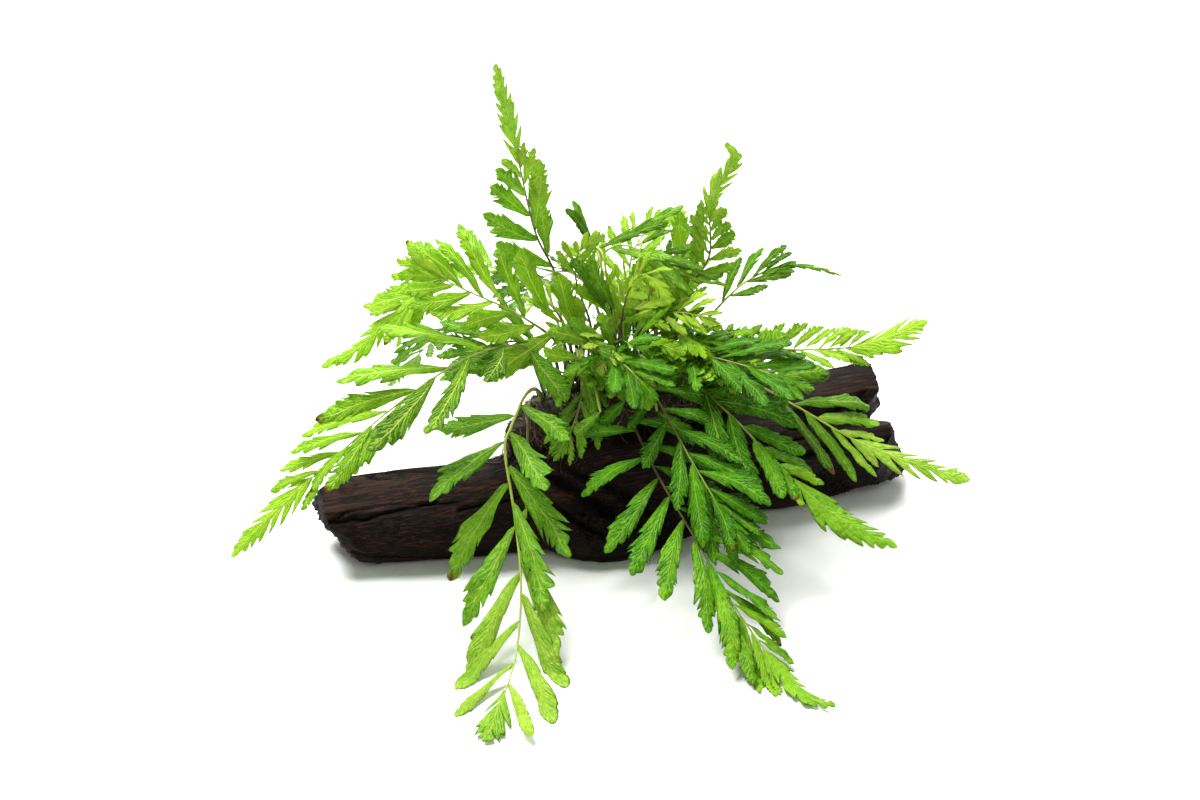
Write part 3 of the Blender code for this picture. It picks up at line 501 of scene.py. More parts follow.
def makeLeafletForm(name, form, variant, collection):
    # one leaflet along +X, one unit long, upper side +Z
    rng = random.Random(f"{leaflet['seed']} {name} {variant}")
    bm = bmesh.new()
    layers = leafLayers(bm, seats=False)
    teeth = form["teeth"] + rng.choice((-1, 0, 1))
    wobble = [rng.uniform(-1, 1) for _ in range(14)]
    bow = rng.uniform(-0.045, 0.045)
    cup = rng.uniform(0.15, 0.6)
    ripple = rng.uniform(0.01, 0.028)
    arch = rng.uniform(-0.04, 0.07)

    def frameAt(u):
        place = Vector((u, bow * sin(pi * u), arch * sin(pi * u)))
        return place, Vector((1, 0, 0)), Vector((0, 0, 1)), Vector((0, -1, 0))

    def halfAt(u, side):
        spot = u * 5.99
        first = int(spot) + (7 if side > 0 else 0)
        own = 1 + 0.12 * blend((wobble[first], wobble[first + 1]), spot % 1)
        return leaflet["half"] * profile(form["profile"], u) * roundTip(u, leaflet["roundTip"]) * own

    def cutAt(u):
        return form["cut"] * smooth((u - 0.14) / 0.22) * (1 - 0.5 * smooth((u - 0.85) / 0.15))

    def relief(u, v, phase, half):
        wave = ripple * sin(2 * pi * (phase * 0.5 + (0.25 if v > 0 else 0)) + wobble[0] * 3) * v * v
        return -cup * half * v * v * 0.8 + 0.06 * half * abs(v) + wave

    leafSheet(bm, layers, teeth * form["rows"], frameAt, halfAt, cutAt, unevenBites(rng),
              lambda u: teeth * u ** 0.95 + 0.22 * sin(8 * u + 3 * wobble[1]) + 0.25,
              lambda u: form["lean"] * (1 - smooth((u - 0.4) / 0.6)), leaflet["thickness"], relief)
    bmesh.ops.recalc_face_normals(bm, faces=bm.faces)
    mesh = meshFrom(bm, f"leaflet_{name}_{variant}")
    collection.objects.link(bpy.data.objects.new(mesh.name, mesh))


def makeLeafletTree():
    # instances a random leaflet on each seat, droops and ripples it, and keeps the tail with it
    tree, add, start = newTree("leaflets", {
        "Forms": ("Collection",), "Leaf": ("Material",), "Seat": ("Float", 1.0), "Ripple": ("Float", 0.0024),
        "Ripple Size": ("Float", 85.0), "Seed": ("Int", 1)})
    read = {label: add("InputNamedAttribute", {"Name": label}, data_type=kind) for label, kind in (
        ("seat", "FLOAT"), ("out", "FLOAT"), ("way", "FLOAT_VECTOR"), ("up", "FLOAT_VECTOR"),
        ("sag", "FLOAT_VECTOR"), ("stretch", "FLOAT_VECTOR"))}
    chosen = add("FunctionNodeCompare", {0: read["seat"], 1: start["Seat"], "Epsilon": 0.5},
                 data_type="FLOAT", operation="EQUAL")
    apart = add("SeparateGeometry", [start["Geometry"], chosen], domain="POINT").outputs
    turned = add("FunctionNodeAxesToRotation", [read["way"], read["up"]],
                 primary_axis="X", secondary_axis="Z")
    forms = add("CollectionInfo", {"Collection": start["Forms"], "Separate Children": True,
                                   "Reset Children": True})
    pick = add("FunctionNodeRandomValue", {4: 0, 5: 99, "Seed": start["Seed"]}, data_type="INT")
    leaves = add("InstanceOnPoints", {
        "Points": apart["Selection"], "Instance": forms, "Pick Instance": True, "Instance Index": pick,
        "Rotation": turned, "Scale": read["stretch"]})
    real = add("RealizeInstances", [leaves])
    squared = add("ShaderNodeMath", [read["out"], 2.0], operation="POWER")
    drop = add("ShaderNodeVectorMath", {0: read["sag"], "Scale": squared}, operation="SCALE")
    drooped = add("SetPosition", {"Geometry": real, "Offset": drop})
    together = add("JoinGeometry", [apart["Inverted"]])
    tree.links.new(drooped.outputs[0], together.inputs[0])
    amount = add("ShaderNodeMath", [start["Ripple"], read["out"]], operation="MULTIPLY")
    closeTree(add, addRipple(add, together, start["Ripple Size"], amount), start["Leaf"])
    return tree


def rooted(share, towards):
    # where a stalk leaves the creeping stem
    middle = Route(creepingStem["route"]).at(share)
    way = (Vector(towards) - middle).normalized()
    return middle + way * (creepingStem["radius"] + 2 * creepingStem["gap"])


def profile(values, share):
    # a value on the smooth curve through a list of values
    return catmull([(value,) for value in values], share)[0]


def roundTip(u, share):
    # the half width over the last share of a blade, as in a half circle
    return sqrt(max(0.0, 1 - max(0.0, (u - 1 + share) / share) ** 2))


class Frond:
    # the same centre line, seats, lengths and angles as the solid blade has

    def __init__(self, name, plan):
        self.name, self.plan = name, plan
        self.route = Route([rooted(plan["root"], plan["route"][0])] + plan["route"])
        self.hint = Vector(plan["face"]).normalized()
        self.rng = random.Random(f"{leaflet['seed']} {name}")

    def frameAt(self, share):
        ahead = self.route.along(share)
        face = (self.hint - self.hint.dot(ahead) * ahead).normalized()
        return self.route.at(share), ahead, face, ahead.cross(face)

    def seats(self):
        count = self.plan["leaflets"]
        steps = [1.0 - self.plan["fall"] * k / count for k in range(count)]
        span = 1.0 - self.plan["tail"] - self.plan["bare"]
        shares = [self.plan["bare"]]
        for step in steps:
            shares.append(shares[-1] + span * step / sum(steps))
        return shares

    def addLeaflets(self, bm, layers):
        plan, rng = self.plan, self.rng
        shares = self.seats()
        count = plan["leaflets"]
        for k in range(count):
            hand, side = k % 2, 1 if k % 2 else -1        # 0 and -1 on the left, 1 and 1 on the right
            base, ahead, face, right = self.frameAt(blend((shares[k], shares[k + 1]), rng.uniform(0.3, 0.7)))
            t = k / max(count - 1, 1)
            turn = radians(profile(plan["angles"][hand], t) + rng.uniform(-5, 5))
            length = profile(plan["lengths"][hand], t) * rng.uniform(0.93, 1.07)
            rise = radians(leaflet["rise"] + rng.uniform(-9, 11))
            flat = cos(turn) * ahead + sin(turn) * side * right
            way = cos(rise) * flat + sin(rise) * face
            roll = radians(rng.uniform(-24, 24))
            sag = -leaflet["droop"] * length * rng.uniform(0.7, 1.4) * (0.5 * face + Vector((0, 0, 0.5)))
            wide = plan["width"] * (1 + plan["widen"] * (1 - t)) / (2 * leaflet["half"])
            wide *= plan["slim"][hand]
            # the shade mark: the fade along the frond (own tone with painted light and shade), a random
            # tone, and the painted shade of sides
            addPoint(
                bm, layers, (base + 0.2 * side * right) * mm, seat=2.0 if t > plan["endFrom"] else 1.0,
                shade=blend(plan["fade"], t) + rng.uniform(-0.2, 0.25) + plan["sides"][hand] * (1 - 0.7 * t),
                rust=0.12 if rng.random() < plan["rust"] else 0.0, way=way,
                up=cos(roll) * face + sin(roll) * way.cross(face),
                sag=(sag + leaflet["sweep"] * length * ahead) * mm,
                stretch=Vector((length, length * wide, length * wide)) * mm)

    def addTail(self, bm, layers):
        plan = self.plan
        start = 1.0 - plan["tail"]
        length = plan["tail"] * self.route.length
        teeth = max(4, round(length / plan["tailStep"]))
        wide = plan["tailHalf"] * min(1.0, length / 22)

        def frameAt(u):
            middle, ahead, face, right = self.frameAt(start + (1 - start) * u)
            return middle * mm, ahead, face, right

        def halfAt(u, side):
            return wide * mm * profile(tail["profile"], u) * roundTip(u, tail["roundTip"])

        def relief(u, v, phase, half):
            return -0.22 * half * v * v + 0.0003 * sin(pi * phase + (1.5 if v > 0 else 0)) * v * v

        leafSheet(bm, layers, teeth * tail["rows"], frameAt, halfAt, lambda u: blend(tail["cut"], u),
                  unevenBites(self.rng), lambda u: teeth * u ** 1.1,
                  lambda u: tail["lean"] * (1 - smooth((u - 0.6) / 0.4)), tail["thickness"] * mm, relief,
                  tail["fullness"])
        # the sheet's shade mark: tailShade, else the last fade, a tone with painted shade
        for vert in bm.verts:
            vert[layers["shade"]] = plan.get("tailShade", plan["fade"][1])
            vert[layers["rust"]] = plan["tipRust"]

    def makeBlade(self, tree, forms, material):
        plan = self.plan
        bm = bmesh.new()
        layers = leafLayers(bm)
        self.addTail(bm, layers)
        bmesh.ops.recalc_face_normals(bm, faces=bm.faces)
        self.addLeaflets(bm, layers)
        mesh = meshFrom(bm, f"blade_{self.name}")
        inputs = {"Leaf": material, "Seed": self.rng.randrange(1000)}
        piece = runTree(linked(mesh.name, mesh), tree, inputs | {"Forms": forms[plan["form"]]})
        if "endForm" in plan:
            piece = runTree(piece, tree, inputs | {"Forms": forms[plan["endForm"]], "Seat": 2.0})
        liftOffFloor(piece.data)
        return piece

    def makeStalk(self, tree, material):
        plan = self.plan
        count = max(12, round(self.route.length / stalk["step"]))
        rows = []
        for i in range(count + 1):
            share = i / count * (1 - 0.1 * plan["tail"])
            middle, _, face, _ = self.frameAt(share)
            bladeShare = (share - plan["bare"]) / (1 - plan["bare"])
            radius = blend(stalk["radius"], share / plan["bare"]) if bladeShare < 0 else (
                blend(stalk["ribRadius"], bladeShare))
            rows.append((middle - stalk["sunk"] * face * smooth(share / plan["bare"] - 0.5),
                         radius * plan["thick"]))
        piece = makeStem(f"stalk_{self.name}", rows, tree, material, plan["green"])
        liftOffFloor(piece.data)
        return piece


def makeStem(name, rows, tree, material, green=0.0):
    # a tube through rows of place and radius
    curve = bpy.data.curves.new(name, "CURVE")
    curve.dimensions = "3D"
    addSpline(curve, [(place * mm, radius) for place, radius in rows])
    return runTree(linked(name, curve), tree, {"Stalk": material, "Green": green})


def addSpline(curve, rows):
    spline = curve.splines.new("POLY")
    spline.points.add(len(rows) - 1)
    for point, (place, radius) in zip(spline.points, rows):
        point.co = place[:] + (1.0,)
        point.radius = radius


def makeLoneStem(foot, tree, material):
    # from the nearest part of the creeping stem up to a single leaf
    foot = Vector(foot)
    stem = Route(creepingStem["route"])
    share = min((i / 40 for i in range(41)), key=lambda t: (stem.at(t) - foot).length)
    start = stem.at(share) + Vector((0, 0, creepingStem["radius"]))
    rise = Vector((0, 0, 0.25 * (foot - start).length))
    route = Route([start, start.lerp(foot, 0.3) + rise, start.lerp(foot, 0.7) + rise, foot])
    steps = stalk["loneSteps"]
    rows = [(route.at(i / steps), blend(stalk["loneRadius"], i / steps)) for i in range(steps + 1)]
    return makeStem("lone_stem", rows, tree, material)


# Young fronds that crowd the crown, most to the front right, and single leaves the photograph
# shows: foot, tip, width as a share of the length, shade, and the form where it isn't crenate.
# The groups' fades are painted light: they lighten the young leaves where the crown lies in its own shade.
crown = dict(seed=7, reach=(20.0, 44.0), height=(14.0, 34.0), leaflets=(8, 11), groups=[
    dict(count=11, root=(0.4, 0.92), turn=(-125, 5), lift=-10.0, tone="deep", width=0.3, lengths=(18, 26),
         fade=(-0.4, -1.0)),
    dict(count=3, root=(0.1, 0.5), turn=(-190, -95), lift=6.0, tone="fresh", width=0.28, lengths=(16, 22),
         fade=(-0.4, -0.8)),
    dict(count=9, root=(0.1, 0.9), turn=(10, 215), lift=14.0, tone="bright", width=0.25, lengths=(13, 20),
         fade=(-0.6, -1.0)),
])
loneLeaves = {
    "bright": [
        ((-25, 5, 90), (-37, 0, 125), 0.26, -0.3), ((-14, 0, 83), (-21, -4, 115), 0.32, -0.2),
        ((-1, 8, 91), (-16, 10, 103), 0.32, -0.8), ((-11, 10, 77), (-14, 12, 92), 0.5, -0.6),
        ((-13, -24, 85), (-27, -30, 93), 0.46, -0.1), ((28, 25, 105), (28, 25, 123), 0.42, -0.7, "smooth"),
        ((24, 8, 87), (26, 6, 102), 0.5, -0.3), ((34, 5, 80), (25, 0, 85), 0.42, -0.4),
        ((13, 15, 78), (9, 18, 98), 0.34, -0.3), ((6, 12, 73), (2, 16, 92), 0.34, -0.4),
        ((19, 12, 78), (22, 14, 94), 0.36, -0.3), ((21, 20, 90), (16, 24, 107), 0.36, -0.4),
        ((8, 20, 90), (13, 24, 109), 0.36, -0.4), ((-21, -14, 93), (-50, -34, 83), 0.3, 0.0),
        ((-34, -50, 30), (-38, -51, 22), 0.5, -0.5, "smooth"), ((-7, -20, 89), (-25, -26, 100), 0.38, 0.1),
        ((54, 6, 63), (74, 6, 83), 0.42, 0.0), ((45, 2, 65), (59, 2, 79), 0.44, 0.0)],
    "fresh": [
        ((1, 4, 89), (-16, 8, 117), 0.2, 0.3, "smooth"), ((2, 2, 94), (-8, 2, 118), 0.26, 0.1),
        ((-9, -22, 93), (11, -32, 79), 0.44, 0.1), ((-33, -22, 88), (-17, -32, 72), 0.46, 0.3),
        ((-12, -20, 83), (-5, -36, 64), 0.28, 0.3, "lobed"),
        ((-11, -20, 84), (2, -32, 73), 0.34, 0.2, "lobed"),
        ((-13, -20, 83), (-22, -34, 69), 0.32, 0.1, "lobed"), ((-11, -24, 90), (6, -28, 87), 0.36, 0.2),
        ((-3, -18, 89), (-16, -22, 103), 0.4, 0.0), ((1, -16, 86), (-4, -16, 103), 0.4, -0.1),
        ((-3, -24, 88), (-19, -32, 83), 0.38, 0.2), ((17, -28, 76), (15, -36, 68), 0.75, -0.1, "lobed"),
        ((-4, -38, 68), (-15, -40, 60), 0.4, 0.2, "smooth"),
        ((-6, 22, 112), (-18, 22, 133), 0.2, 0.7, "smooth"), ((-5, 20, 114), (24, 18, 129), 0.17, 0.2),
        ((13, 16, 118), (25, 14, 126), 0.24, 0.2), ((19, 14, 114), (32, 12, 118), 0.26, 0.6, "smooth"),
        ((20, 12, 114), (26, 10, 109), 0.4, 0.3), ((65, -6, 66), (89, -8, 73), 0.34, 0.1)],
    "deep": [
        ((19, -15, 66), (42, -10, 90), 0.42, 0.0), ((13, -16, 68), (19, -12, 85), 0.5, 0.1),
        ((13, -16, 67), (3, -14, 87), 0.5, -0.1), ((24, -18, 67), (56, -34, 70), 0.34, 0.2),
        ((54, -22, 62), (73, -26, 68), 0.34, 0.0, "smooth"), ((34, -20, 66), (50, -16, 77), 0.4, 0.1),
        ((6, -30, 69), (-4, -36, 61), 0.5, 0.1), ((19, -28, 63), (34, -38, 54), 0.4, 0.2)],
}


def crownPlan(group, i):
    rng = random.Random(f"{crown['seed']} {group['tone']} {i}")
    root = rng.uniform(*group["root"])
    turn = radians(rng.uniform(*group["turn"]))
    way = Vector((cos(turn), sin(turn), 0))
    reach, height = rng.uniform(*crown["reach"]), rng.uniform(*crown["height"]) + group["lift"]
    foot = Route(creepingStem["route"]).at(root) + Vector((0, 0, creepingStem["radius"]))
    route = [foot + way * reach * a + Vector((0, 0, height * b))
             for a, b in ((0.08, 0.4), (0.3, 0.85), (0.62, 1.0), (1.0, 0.72))]
    length = rng.uniform(*group["lengths"])
    return usual | group | dict(
        root=root, route=[tuple(p) for p in route], face=(0.2 * way.x, -0.45 + 0.3 * way.y, 0.85), bare=0.34,
        tail=0.26, leaflets=rng.randint(*crown["leaflets"]), angles=((40, 30, 22), (46, 32, 22)),
        lengths=((0.8 * length, length, 0.9 * length, 0.6 * length),) * 2,
        form=rng.choice(("crenate", "crenate", "lobed")))


def addLoneLeaves(bm, layers, form, rows):
    rng = random.Random(f"{crown['seed']} {form}")
    for foot, tip, width, shade, *own in rows:
        if (own or [usual["form"]])[0] == form:
            way = Vector(tip) - Vector(foot)
            up = Vector((rng.uniform(-0.35, 0.35), -0.8, rng.uniform(0.3, 0.7))).normalized()
            wide = way.length * width / (2 * leaflet["half"])
            addPoint(bm, layers, Vector(foot) * mm, seat=1.0, shade=shade, way=way.normalized(), up=up,
                     sag=Vector((0, 0, -0.05)) * way.length * mm,
                     stretch=Vector((way.length, wide, wide)) * mm)


def liftOffFloor(mesh):
    # what would sink below the floor is pressed flat just above it
    near, air = 2.0 * mm, leaflet["floorAir"] * mm
    for vert in mesh.vertices:
        if vert.co.z < near:
            vert.co.z = air + (near - air) * exp((vert.co.z - near) / (near - air))


def makeStalkTree():
    tree, add, start = newTree("stalks", {"Stalk": ("Material",), "Sides": ("Int", stalk["sides"]),
                                          "Knobs": ("Float", 0.00012), "Green": ("Float", 0.0)})
    factor = add("SplineParameter")
    along = add("ShaderNodeMath", [factor, start["Green"]], operation="ADD")
    marked = add("StoreNamedAttribute", {"Geometry": start["Geometry"], "Name": "along", "Value": along},
                 data_type="FLOAT", domain="POINT")
    ring = add("CurvePrimitiveCircle", {"Resolution": start["Sides"], "Radius": mm}, mode="RADIUS")
    tube = add("CurveToMesh", {"Curve": marked, "Profile Curve": ring, "Scale": add("InputRadius"),
                               "Fill Caps": True})
    closeTree(add, addRipple(add, tube, 600.0, start["Knobs"]), start["Stalk"])
    return tree


def makeStalkMaterial():
    # wiry fern stalk: dark brown and horny at the foot, olive green along the blade
    material, add, place, along = newMaterial("wiry fern stalk", "along")
    cloud = add("TexNoise", {"Vector": place, "Scale": 180.0, "Detail": 4.0})
    mixed = add("Math", [cloud, 0.3, along], operation="MULTIPLY_ADD")
    ramp = paintRamp(add("ValToRGB", [mixed]), (0.15, "#1d1409"), (0.98, "#94a63c"), (0.55, "#4e4a1a"))
    bump = add("Bump", {"Height": cloud, "Strength": 0.3, "Distance": 0.0003})
    skin = add("BsdfPrincipled", {"Base Color": ramp, "Roughness": 0.42, "Normal": bump, "IOR": 1.45})
    add("OutputMaterial", [skin])
    return material


def joined(name, pieces):
    # several pieces made one, their attributes kept
    bm = bmesh.new()
    materials = []
    for piece in pieces:
        before = len(bm.faces)
        bm.from_mesh(piece.data)
        bm.faces.ensure_lookup_table()
        for face in bm.faces[before:]:
            material = piece.data.materials[face.material_index]
            if material not in materials:
                materials.append(material)
            face.material_index = materials.index(material)
        bpy.data.objects.remove(piece)
    mesh = meshFrom(bm, name)
    for material in materials:
        mesh.materials.append(material)
    return linked(name, mesh)


def makeFronds():
    forms = {}
    for name, form in leafForms.items():
        forms[name] = bpy.data.collections.new(f"forms_{name}")
        scene.collection.children.link(forms[name])
        for variant in range(form["variants"]):
            makeLeafletForm(name, form, variant, forms[name])
    leafletTree, stalkTree, stalkMaterial = makeLeafletTree(), makeStalkTree(), makeStalkMaterial()
    # one copy of the leaf material for each tone, the tones partly painted light and painted shade
    leafMaterials = {tone: makeLeafMaterial(f"{tone} fern leaf", leafTones[tone]) for tone in leafTones}

    def grow(name, plan):
        frond = Frond(name, plan)
        blade = frond.makeBlade(leafletTree, forms, leafMaterials[plan["tone"]])
        return blade, frond.makeStalk(stalkTree, stalkMaterial)

    for name, (*values, more) in fronds.items():
        plan = usual | dict(zip(frondKeys, values)) | more
        blade, rib = grow(name, plan)
        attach(blade, "root")
        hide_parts(f"frond_{name}_blade")
        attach(rib, "root")
        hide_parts(f"frond_{name}_stalk")
    print("fronds made:", len(fronds))

    young = {tone: [] for tone in leafTones}
    stems = []
    for group in crown["groups"]:
        for i in range(group["count"]):
            tone = group["tone"]
            blade, rib = grow(f"young_{tone}_{i}", crownPlan(group, i))
            young[tone].append(blade)
            stems.append(rib)
    for tone, rows in loneLeaves.items():
        for form, collection in forms.items():
            bm = bmesh.new()
            addLoneLeaves(bm, leafLayers(bm), form, rows)
            mesh = meshFrom(bm, f"lone_{tone}_{form}")
            if mesh.vertices:
                young[tone].append(runTree(linked(mesh.name, mesh), leafletTree, {
                    "Forms": collection, "Leaf": leafMaterials[tone], "Seed": crown["seed"]}))
        stems += [makeLoneStem(row[0], stalkTree, stalkMaterial) for row in rows]
    for tone, pieces in young.items():
        piece = joined(f"young_leaves_{tone}", pieces)
        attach(piece, "root")
    piece = joined("young_stalks", stems)
    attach(piece, "root")
    print("crown filled:", sum(group["count"] for group in crown["groups"]), "young fronds")
    for collection in forms.values():
        for piece in list(collection.objects):
            bpy.data.objects.remove(piece)
        bpy.data.collections.remove(collection)


# Driftwood. Marks the photograph shows are placed by where they are seen: millimetres right
# of and above the middle of the view. cracks: width, depth, path. knots, rinds: place, width, height.
driftwood = dict(voxel=0.8, rounding=2, seed=5.0, lie=0.272, cracks=[
    (0.9, 1.6, [(-114, -51), (-98, -50), (-86, -46.6), (-69, -43)]),
    (0.8, 1.4, [(-59, -46), (-44, -43), (-30, -40)]),
    (1.4, -0.9, [(-112, -53), (-101, -62), (-93, -67)]),
    (1.0, 1.2, [(-105, -31.5), (-80, -29.5), (-55, -28.6)]),
    (2.4, 4.2, [(-24, -30), (-4, -43), (14, -53), (24, -56)]),
    (1.6, 2.4, [(-28, -38), (-12, -50), (4, -59)]),
    (1.7, 2.6, [(-16, -28), (4, -37), (22, -47)]),
    (1.0, 1.6, [(80, -12), (96, -6), (112, 3)]),
    (1.5, 2.4, [(84, -24), (104, -18), (122, -17)]),
], knots=[(-88, -52.5, 3.2, 1.4), (-106.5, -36.5, 3.4, 1.6), (-34, -24, 7.0, 2.4)],
    rinds=[(0, -52, 17, 11), (26, -56, 18, 9), (98, -34, 18, 7), (112, -26, 8, 6), (-33, -24, 9, 6)])


def seen(p):
    # where a point in millimetres shows in the picture's plane
    lift = radians(view["elevation"])
    v = p - Vector(view["target"])
    away = view["distance"] - (-v.y * cos(lift) + v.z * sin(lift))
    scale = view["distance"] / away
    return v.x * scale, (v.y * sin(lift) + v.z * cos(lift)) * scale


def nearPath(x, h, path):
    # distance to a broken line
    best = 1e9
    for (ax, ah), (bx, bh) in zip(path, path[1:]):
        dx, dh = bx - ax, bh - ah
        t = min(max(((x - ax) * dx + (h - ah) * dh) / (dx * dx + dh * dh), 0.0), 1.0)
        best = min(best, hypot(x - ax - t * dx, h - ah - t * dh))
    return best


def roughened(name, solids, voxel, shapeAt, material, marks=(), passes=1):
    # the named solids as one remeshed piece, rounded, then moved along its normals by the height in
    # millimetres that shapeAt gives for a point, with the point's marks
    bm = bmesh.new()
    for solid in solids:
        bm.from_mesh(frame["nodes"][solid].data)
    bmesh.ops.remove_doubles(bm, verts=bm.verts, dist=0.000002)
    piece = linked(name, meshFrom(bm, name))
    remesh = piece.modifiers.new("remesh", "REMESH")
    remesh.mode = "VOXEL"
    remesh.voxel_size = voxel * mm
    piece = runModifiers(piece)
    bm = bmesh.new()
    bm.from_mesh(piece.data)
    for _ in range(passes):
        bmesh.ops.smooth_vert(
            bm, verts=bm.verts, factor=0.5, use_axis_x=True, use_axis_y=True, use_axis_z=True)
    bm.normal_update()
    layers = [bm.verts.layers.float.new(mark) for mark in marks]
    for vert in bm.verts:
        height, *values = shapeAt(vert.co / mm, vert.normal)
        for layer, value in zip(layers, values):
            vert[layer] = value
        vert.co += vert.normal * height * mm
        vert.co.z = max(vert.co.z, 0.0)
    bm.to_mesh(piece.data)
    bm.free()
    piece.data.shade_smooth()
    piece.data.materials.clear()
    piece.data.materials.append(material)
    return piece


def woodShape(p, normal):
    # height, painted shade of the cracks, rind and broken end at a point of the wood, in millimetres
    c, s = cos(driftwood["lie"]), sin(driftwood["lie"])
    along, across, up = p.x * c + p.y * s, -p.x * s + p.y * c, p.z
    x, h = seen(p)
    front = smooth((normal.dot(Vector((0, -0.883, 0.469))) - 0.05) / 0.3)
    warp = noise.noise(Vector((along * 0.02, across * 0.03, up * 0.03))) * 5
    # the crack mark is painted shade: nearly black in sunken cracks, in the ring round each knot and in the
    # gaps along the grain
    crack = rind = height = 0.0
    for kx, kh, wide, tall in driftwood["knots"]:
        d = hypot(x - kx, (h - kh) * 1.2) / wide
        pull = exp(-0.35 * d * d) * front
        warp += (h - kh) * -0.55 * pull
        height += front * tall * (exp(-(d * 1.5) ** 2) - 0.25 * exp(-((d - 1.15) / 0.3) ** 2))
        crack = max(crack, 0.5 * front * exp(-((d - 1.15) / 0.22) ** 2))
    strayX = x + 0.8 * noise.noise(p * 0.25)
    strayH = h + 1.3 * noise.noise(p * 0.18 + Vector((9, 0, 0)))
    for wide, deep, path in driftwood["cracks"]:
        d = nearPath(strayX, strayH, path)
        if d < 3 * wide:
            sunk = front * exp(-(d / wide) ** 2)
            height -= deep * sunk
            crack = max(crack, sunk if deep > 0 else 0.0)
    for rx, rh, wide, tall in driftwood["rinds"]:
        rind = max(rind, front * smooth(1.7 - 1.3 * hypot((x - rx) / wide, (h - rh) / tall)))
    rind = max(rind, (1 - front) * smooth(noise.noise(p * 0.025 + Vector((0, 40, 0))) * 4 - 0.6))
    rind *= smooth(0.75 + noise.noise(p * 0.09) * 1.6)

    def grain(run, pack, dx=0.0, dy=0.0, dz=0.0):
        # noise drawn out along the wood and bent round its knots
        return noise.noise(Vector((along * run + dx, (across + warp) * pack + dy, (up + warp) * pack + dz)))

    gate = smooth(noise.noise(p * 0.022 + Vector((5, 5, 5))) * 3 + 0.3)
    gap = exp(-(grain(0.009, 0.06, dy=2, dz=9) / 0.022) ** 2) * gate
    height += (grain(0.012, 0.075, dx=driftwood["seed"]) + 0.55 * grain(0.02, 0.2, dz=3)
               + 0.32 * (0.5 - abs(grain(0.035, 0.5, dz=8))) - 1.5 * gap)
    crack = max(crack, gap)
    pit = abs(noise.noise(p * 0.42)) + 0.6 * abs(noise.noise(p * 0.9))
    height += rind * (0.9 - 2.6 * pit)
    # broken ends: chunky facets across the grain, splinters along it
    end = smooth((abs(normal.x * c + normal.y * s) - 0.5) / 0.25)
    chunk = noise.cell(Vector((along * 0.1, across * 0.16, up * 0.13)) + Vector((3, 0, 0)))
    splinter = noise.noise(Vector((along * 0.05, across * 0.55, up * 0.55)))
    return height + end * (1.2 * chunk + 1.6 * splinter - 0.6), crack, rind, end


def makeDriftwood():
    solids = ["driftwood_trunk", "driftwood_upper_fork", "driftwood_lower_fork"]
    piece = roughened("driftwood", solids, driftwood["voxel"], woodShape, makeWoodMaterial(),
                      ("crack", "rind", "end"), driftwood["rounding"])
    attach(piece, "root")
    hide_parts("driftwood_trunk", "driftwood_upper_fork", "driftwood_lower_fork")
    print("driftwood made:", len(piece.data.polygons), "faces")
    return piece


def makeWoodMaterial():
    # water-logged bogwood: nearly black, wet, with red-brown grain where the light catches it
    material, add, place, crack, rind, end = newMaterial("water-logged bogwood", "crack", "rind", "end")
    grit = add("TexNoise", {"Vector": place, "Scale": 1300.0, "Detail": 4.0})
    # fibres about 0.7 mm wide and 25 mm long, over bands 8 mm wide
    turned = add("Mapping", {"Vector": place, "Rotation": (0, 0, -driftwood["lie"])})
    drawn = add("Mapping", {"Vector": turned, "Scale": (40.0, 1400.0, 1400.0)})
    grain = add("TexNoise", {"Vector": drawn, "Scale": 1.0, "Detail": 6.0, "Roughness": 0.7,
                             "Distortion": 0.4})
    broad = add("Mapping", {"Vector": turned, "Scale": (14.0, 120.0, 120.0)})
    bands = add("TexNoise", {"Vector": broad, "Scale": 1.0, "Detail": 4.0})
    banded = add("Math", [bands, 0.6], operation="MULTIPLY")
    mixed = add("Math", [grain, 1.7, banded], operation="MULTIPLY_ADD")
    mixed = add("MapRange", [mixed, 0.8, 1.5])
    body = paintRamp(add("ValToRGB", [mixed]), (0.1, "#050302"), (0.95, "#40271b"), (0.5, "#0f0805"))
    broken = add("Mix", {0: grit, 6: toLinear("#15110f"), 7: toLinear("#453f3c")}, data_type="RGBA")
    # broken ends and bark in their own colours, then painted shade, nearly black, in the cracks
    for share, over in ((end, broken), (rind, toLinear("#120d0b")), (crack, toLinear("#050302"))):
        body = add("Mix", {0: share, 6: body, 7: over}, data_type="RGBA")
    knobs = add("TexVoronoi", {"Vector": place, "Scale": 620.0})
    relief = grain
    for part, share in ((grit, 0.5), (knobs, rind)):
        relief = add("Math", [part, share, relief], operation="MULTIPLY_ADD")
    bump = add("Bump", {"Height": relief, "Strength": 1.0, "Distance": 0.0009})
    wet = add("MapRange", [bands, 0.0, 1.0, 0.42, 0.62])
    dulled = add("Math", [rind, -0.22, wet], operation="MULTIPLY_ADD")
    skin = add("BsdfPrincipled", {"Base Color": body, "Roughness": dulled, "Normal": bump, "IOR": 1.45,
                                  "Specular IOR Level": 0.08})
    add("OutputMaterial", [skin])
    return material


# Creeping stem, the mat of roots that holds it, loose roots over the wood, and moss
roots = dict(voxel=0.7, seed=21, lumps=1.6, fuzz=1.5, step=1.4, stray=0.42, batches=dict(
    anchor_roots=dict(count=210, steps=(8, 26), radius=(0.3, 0.6), lift=(0.2, 1.2)),
    fine_roots=dict(count=170, steps=(5, 16), radius=(0.14, 0.28), lift=(0.3, 2.6))))
moss = dict(density=260000.0, height=0.0022, blades=4, seed=3)


def meshTree(pieces):
    # all faces of the pieces, to find the nearest place on them
    verts, faces = [], []
    for piece in pieces:
        first = len(verts)
        verts += [v.co.copy() for v in piece.data.vertices]
        faces += [tuple(first + i for i in p.vertices) for p in piece.data.polygons]
    return BVHTree.FromPolygons(verts, faces)


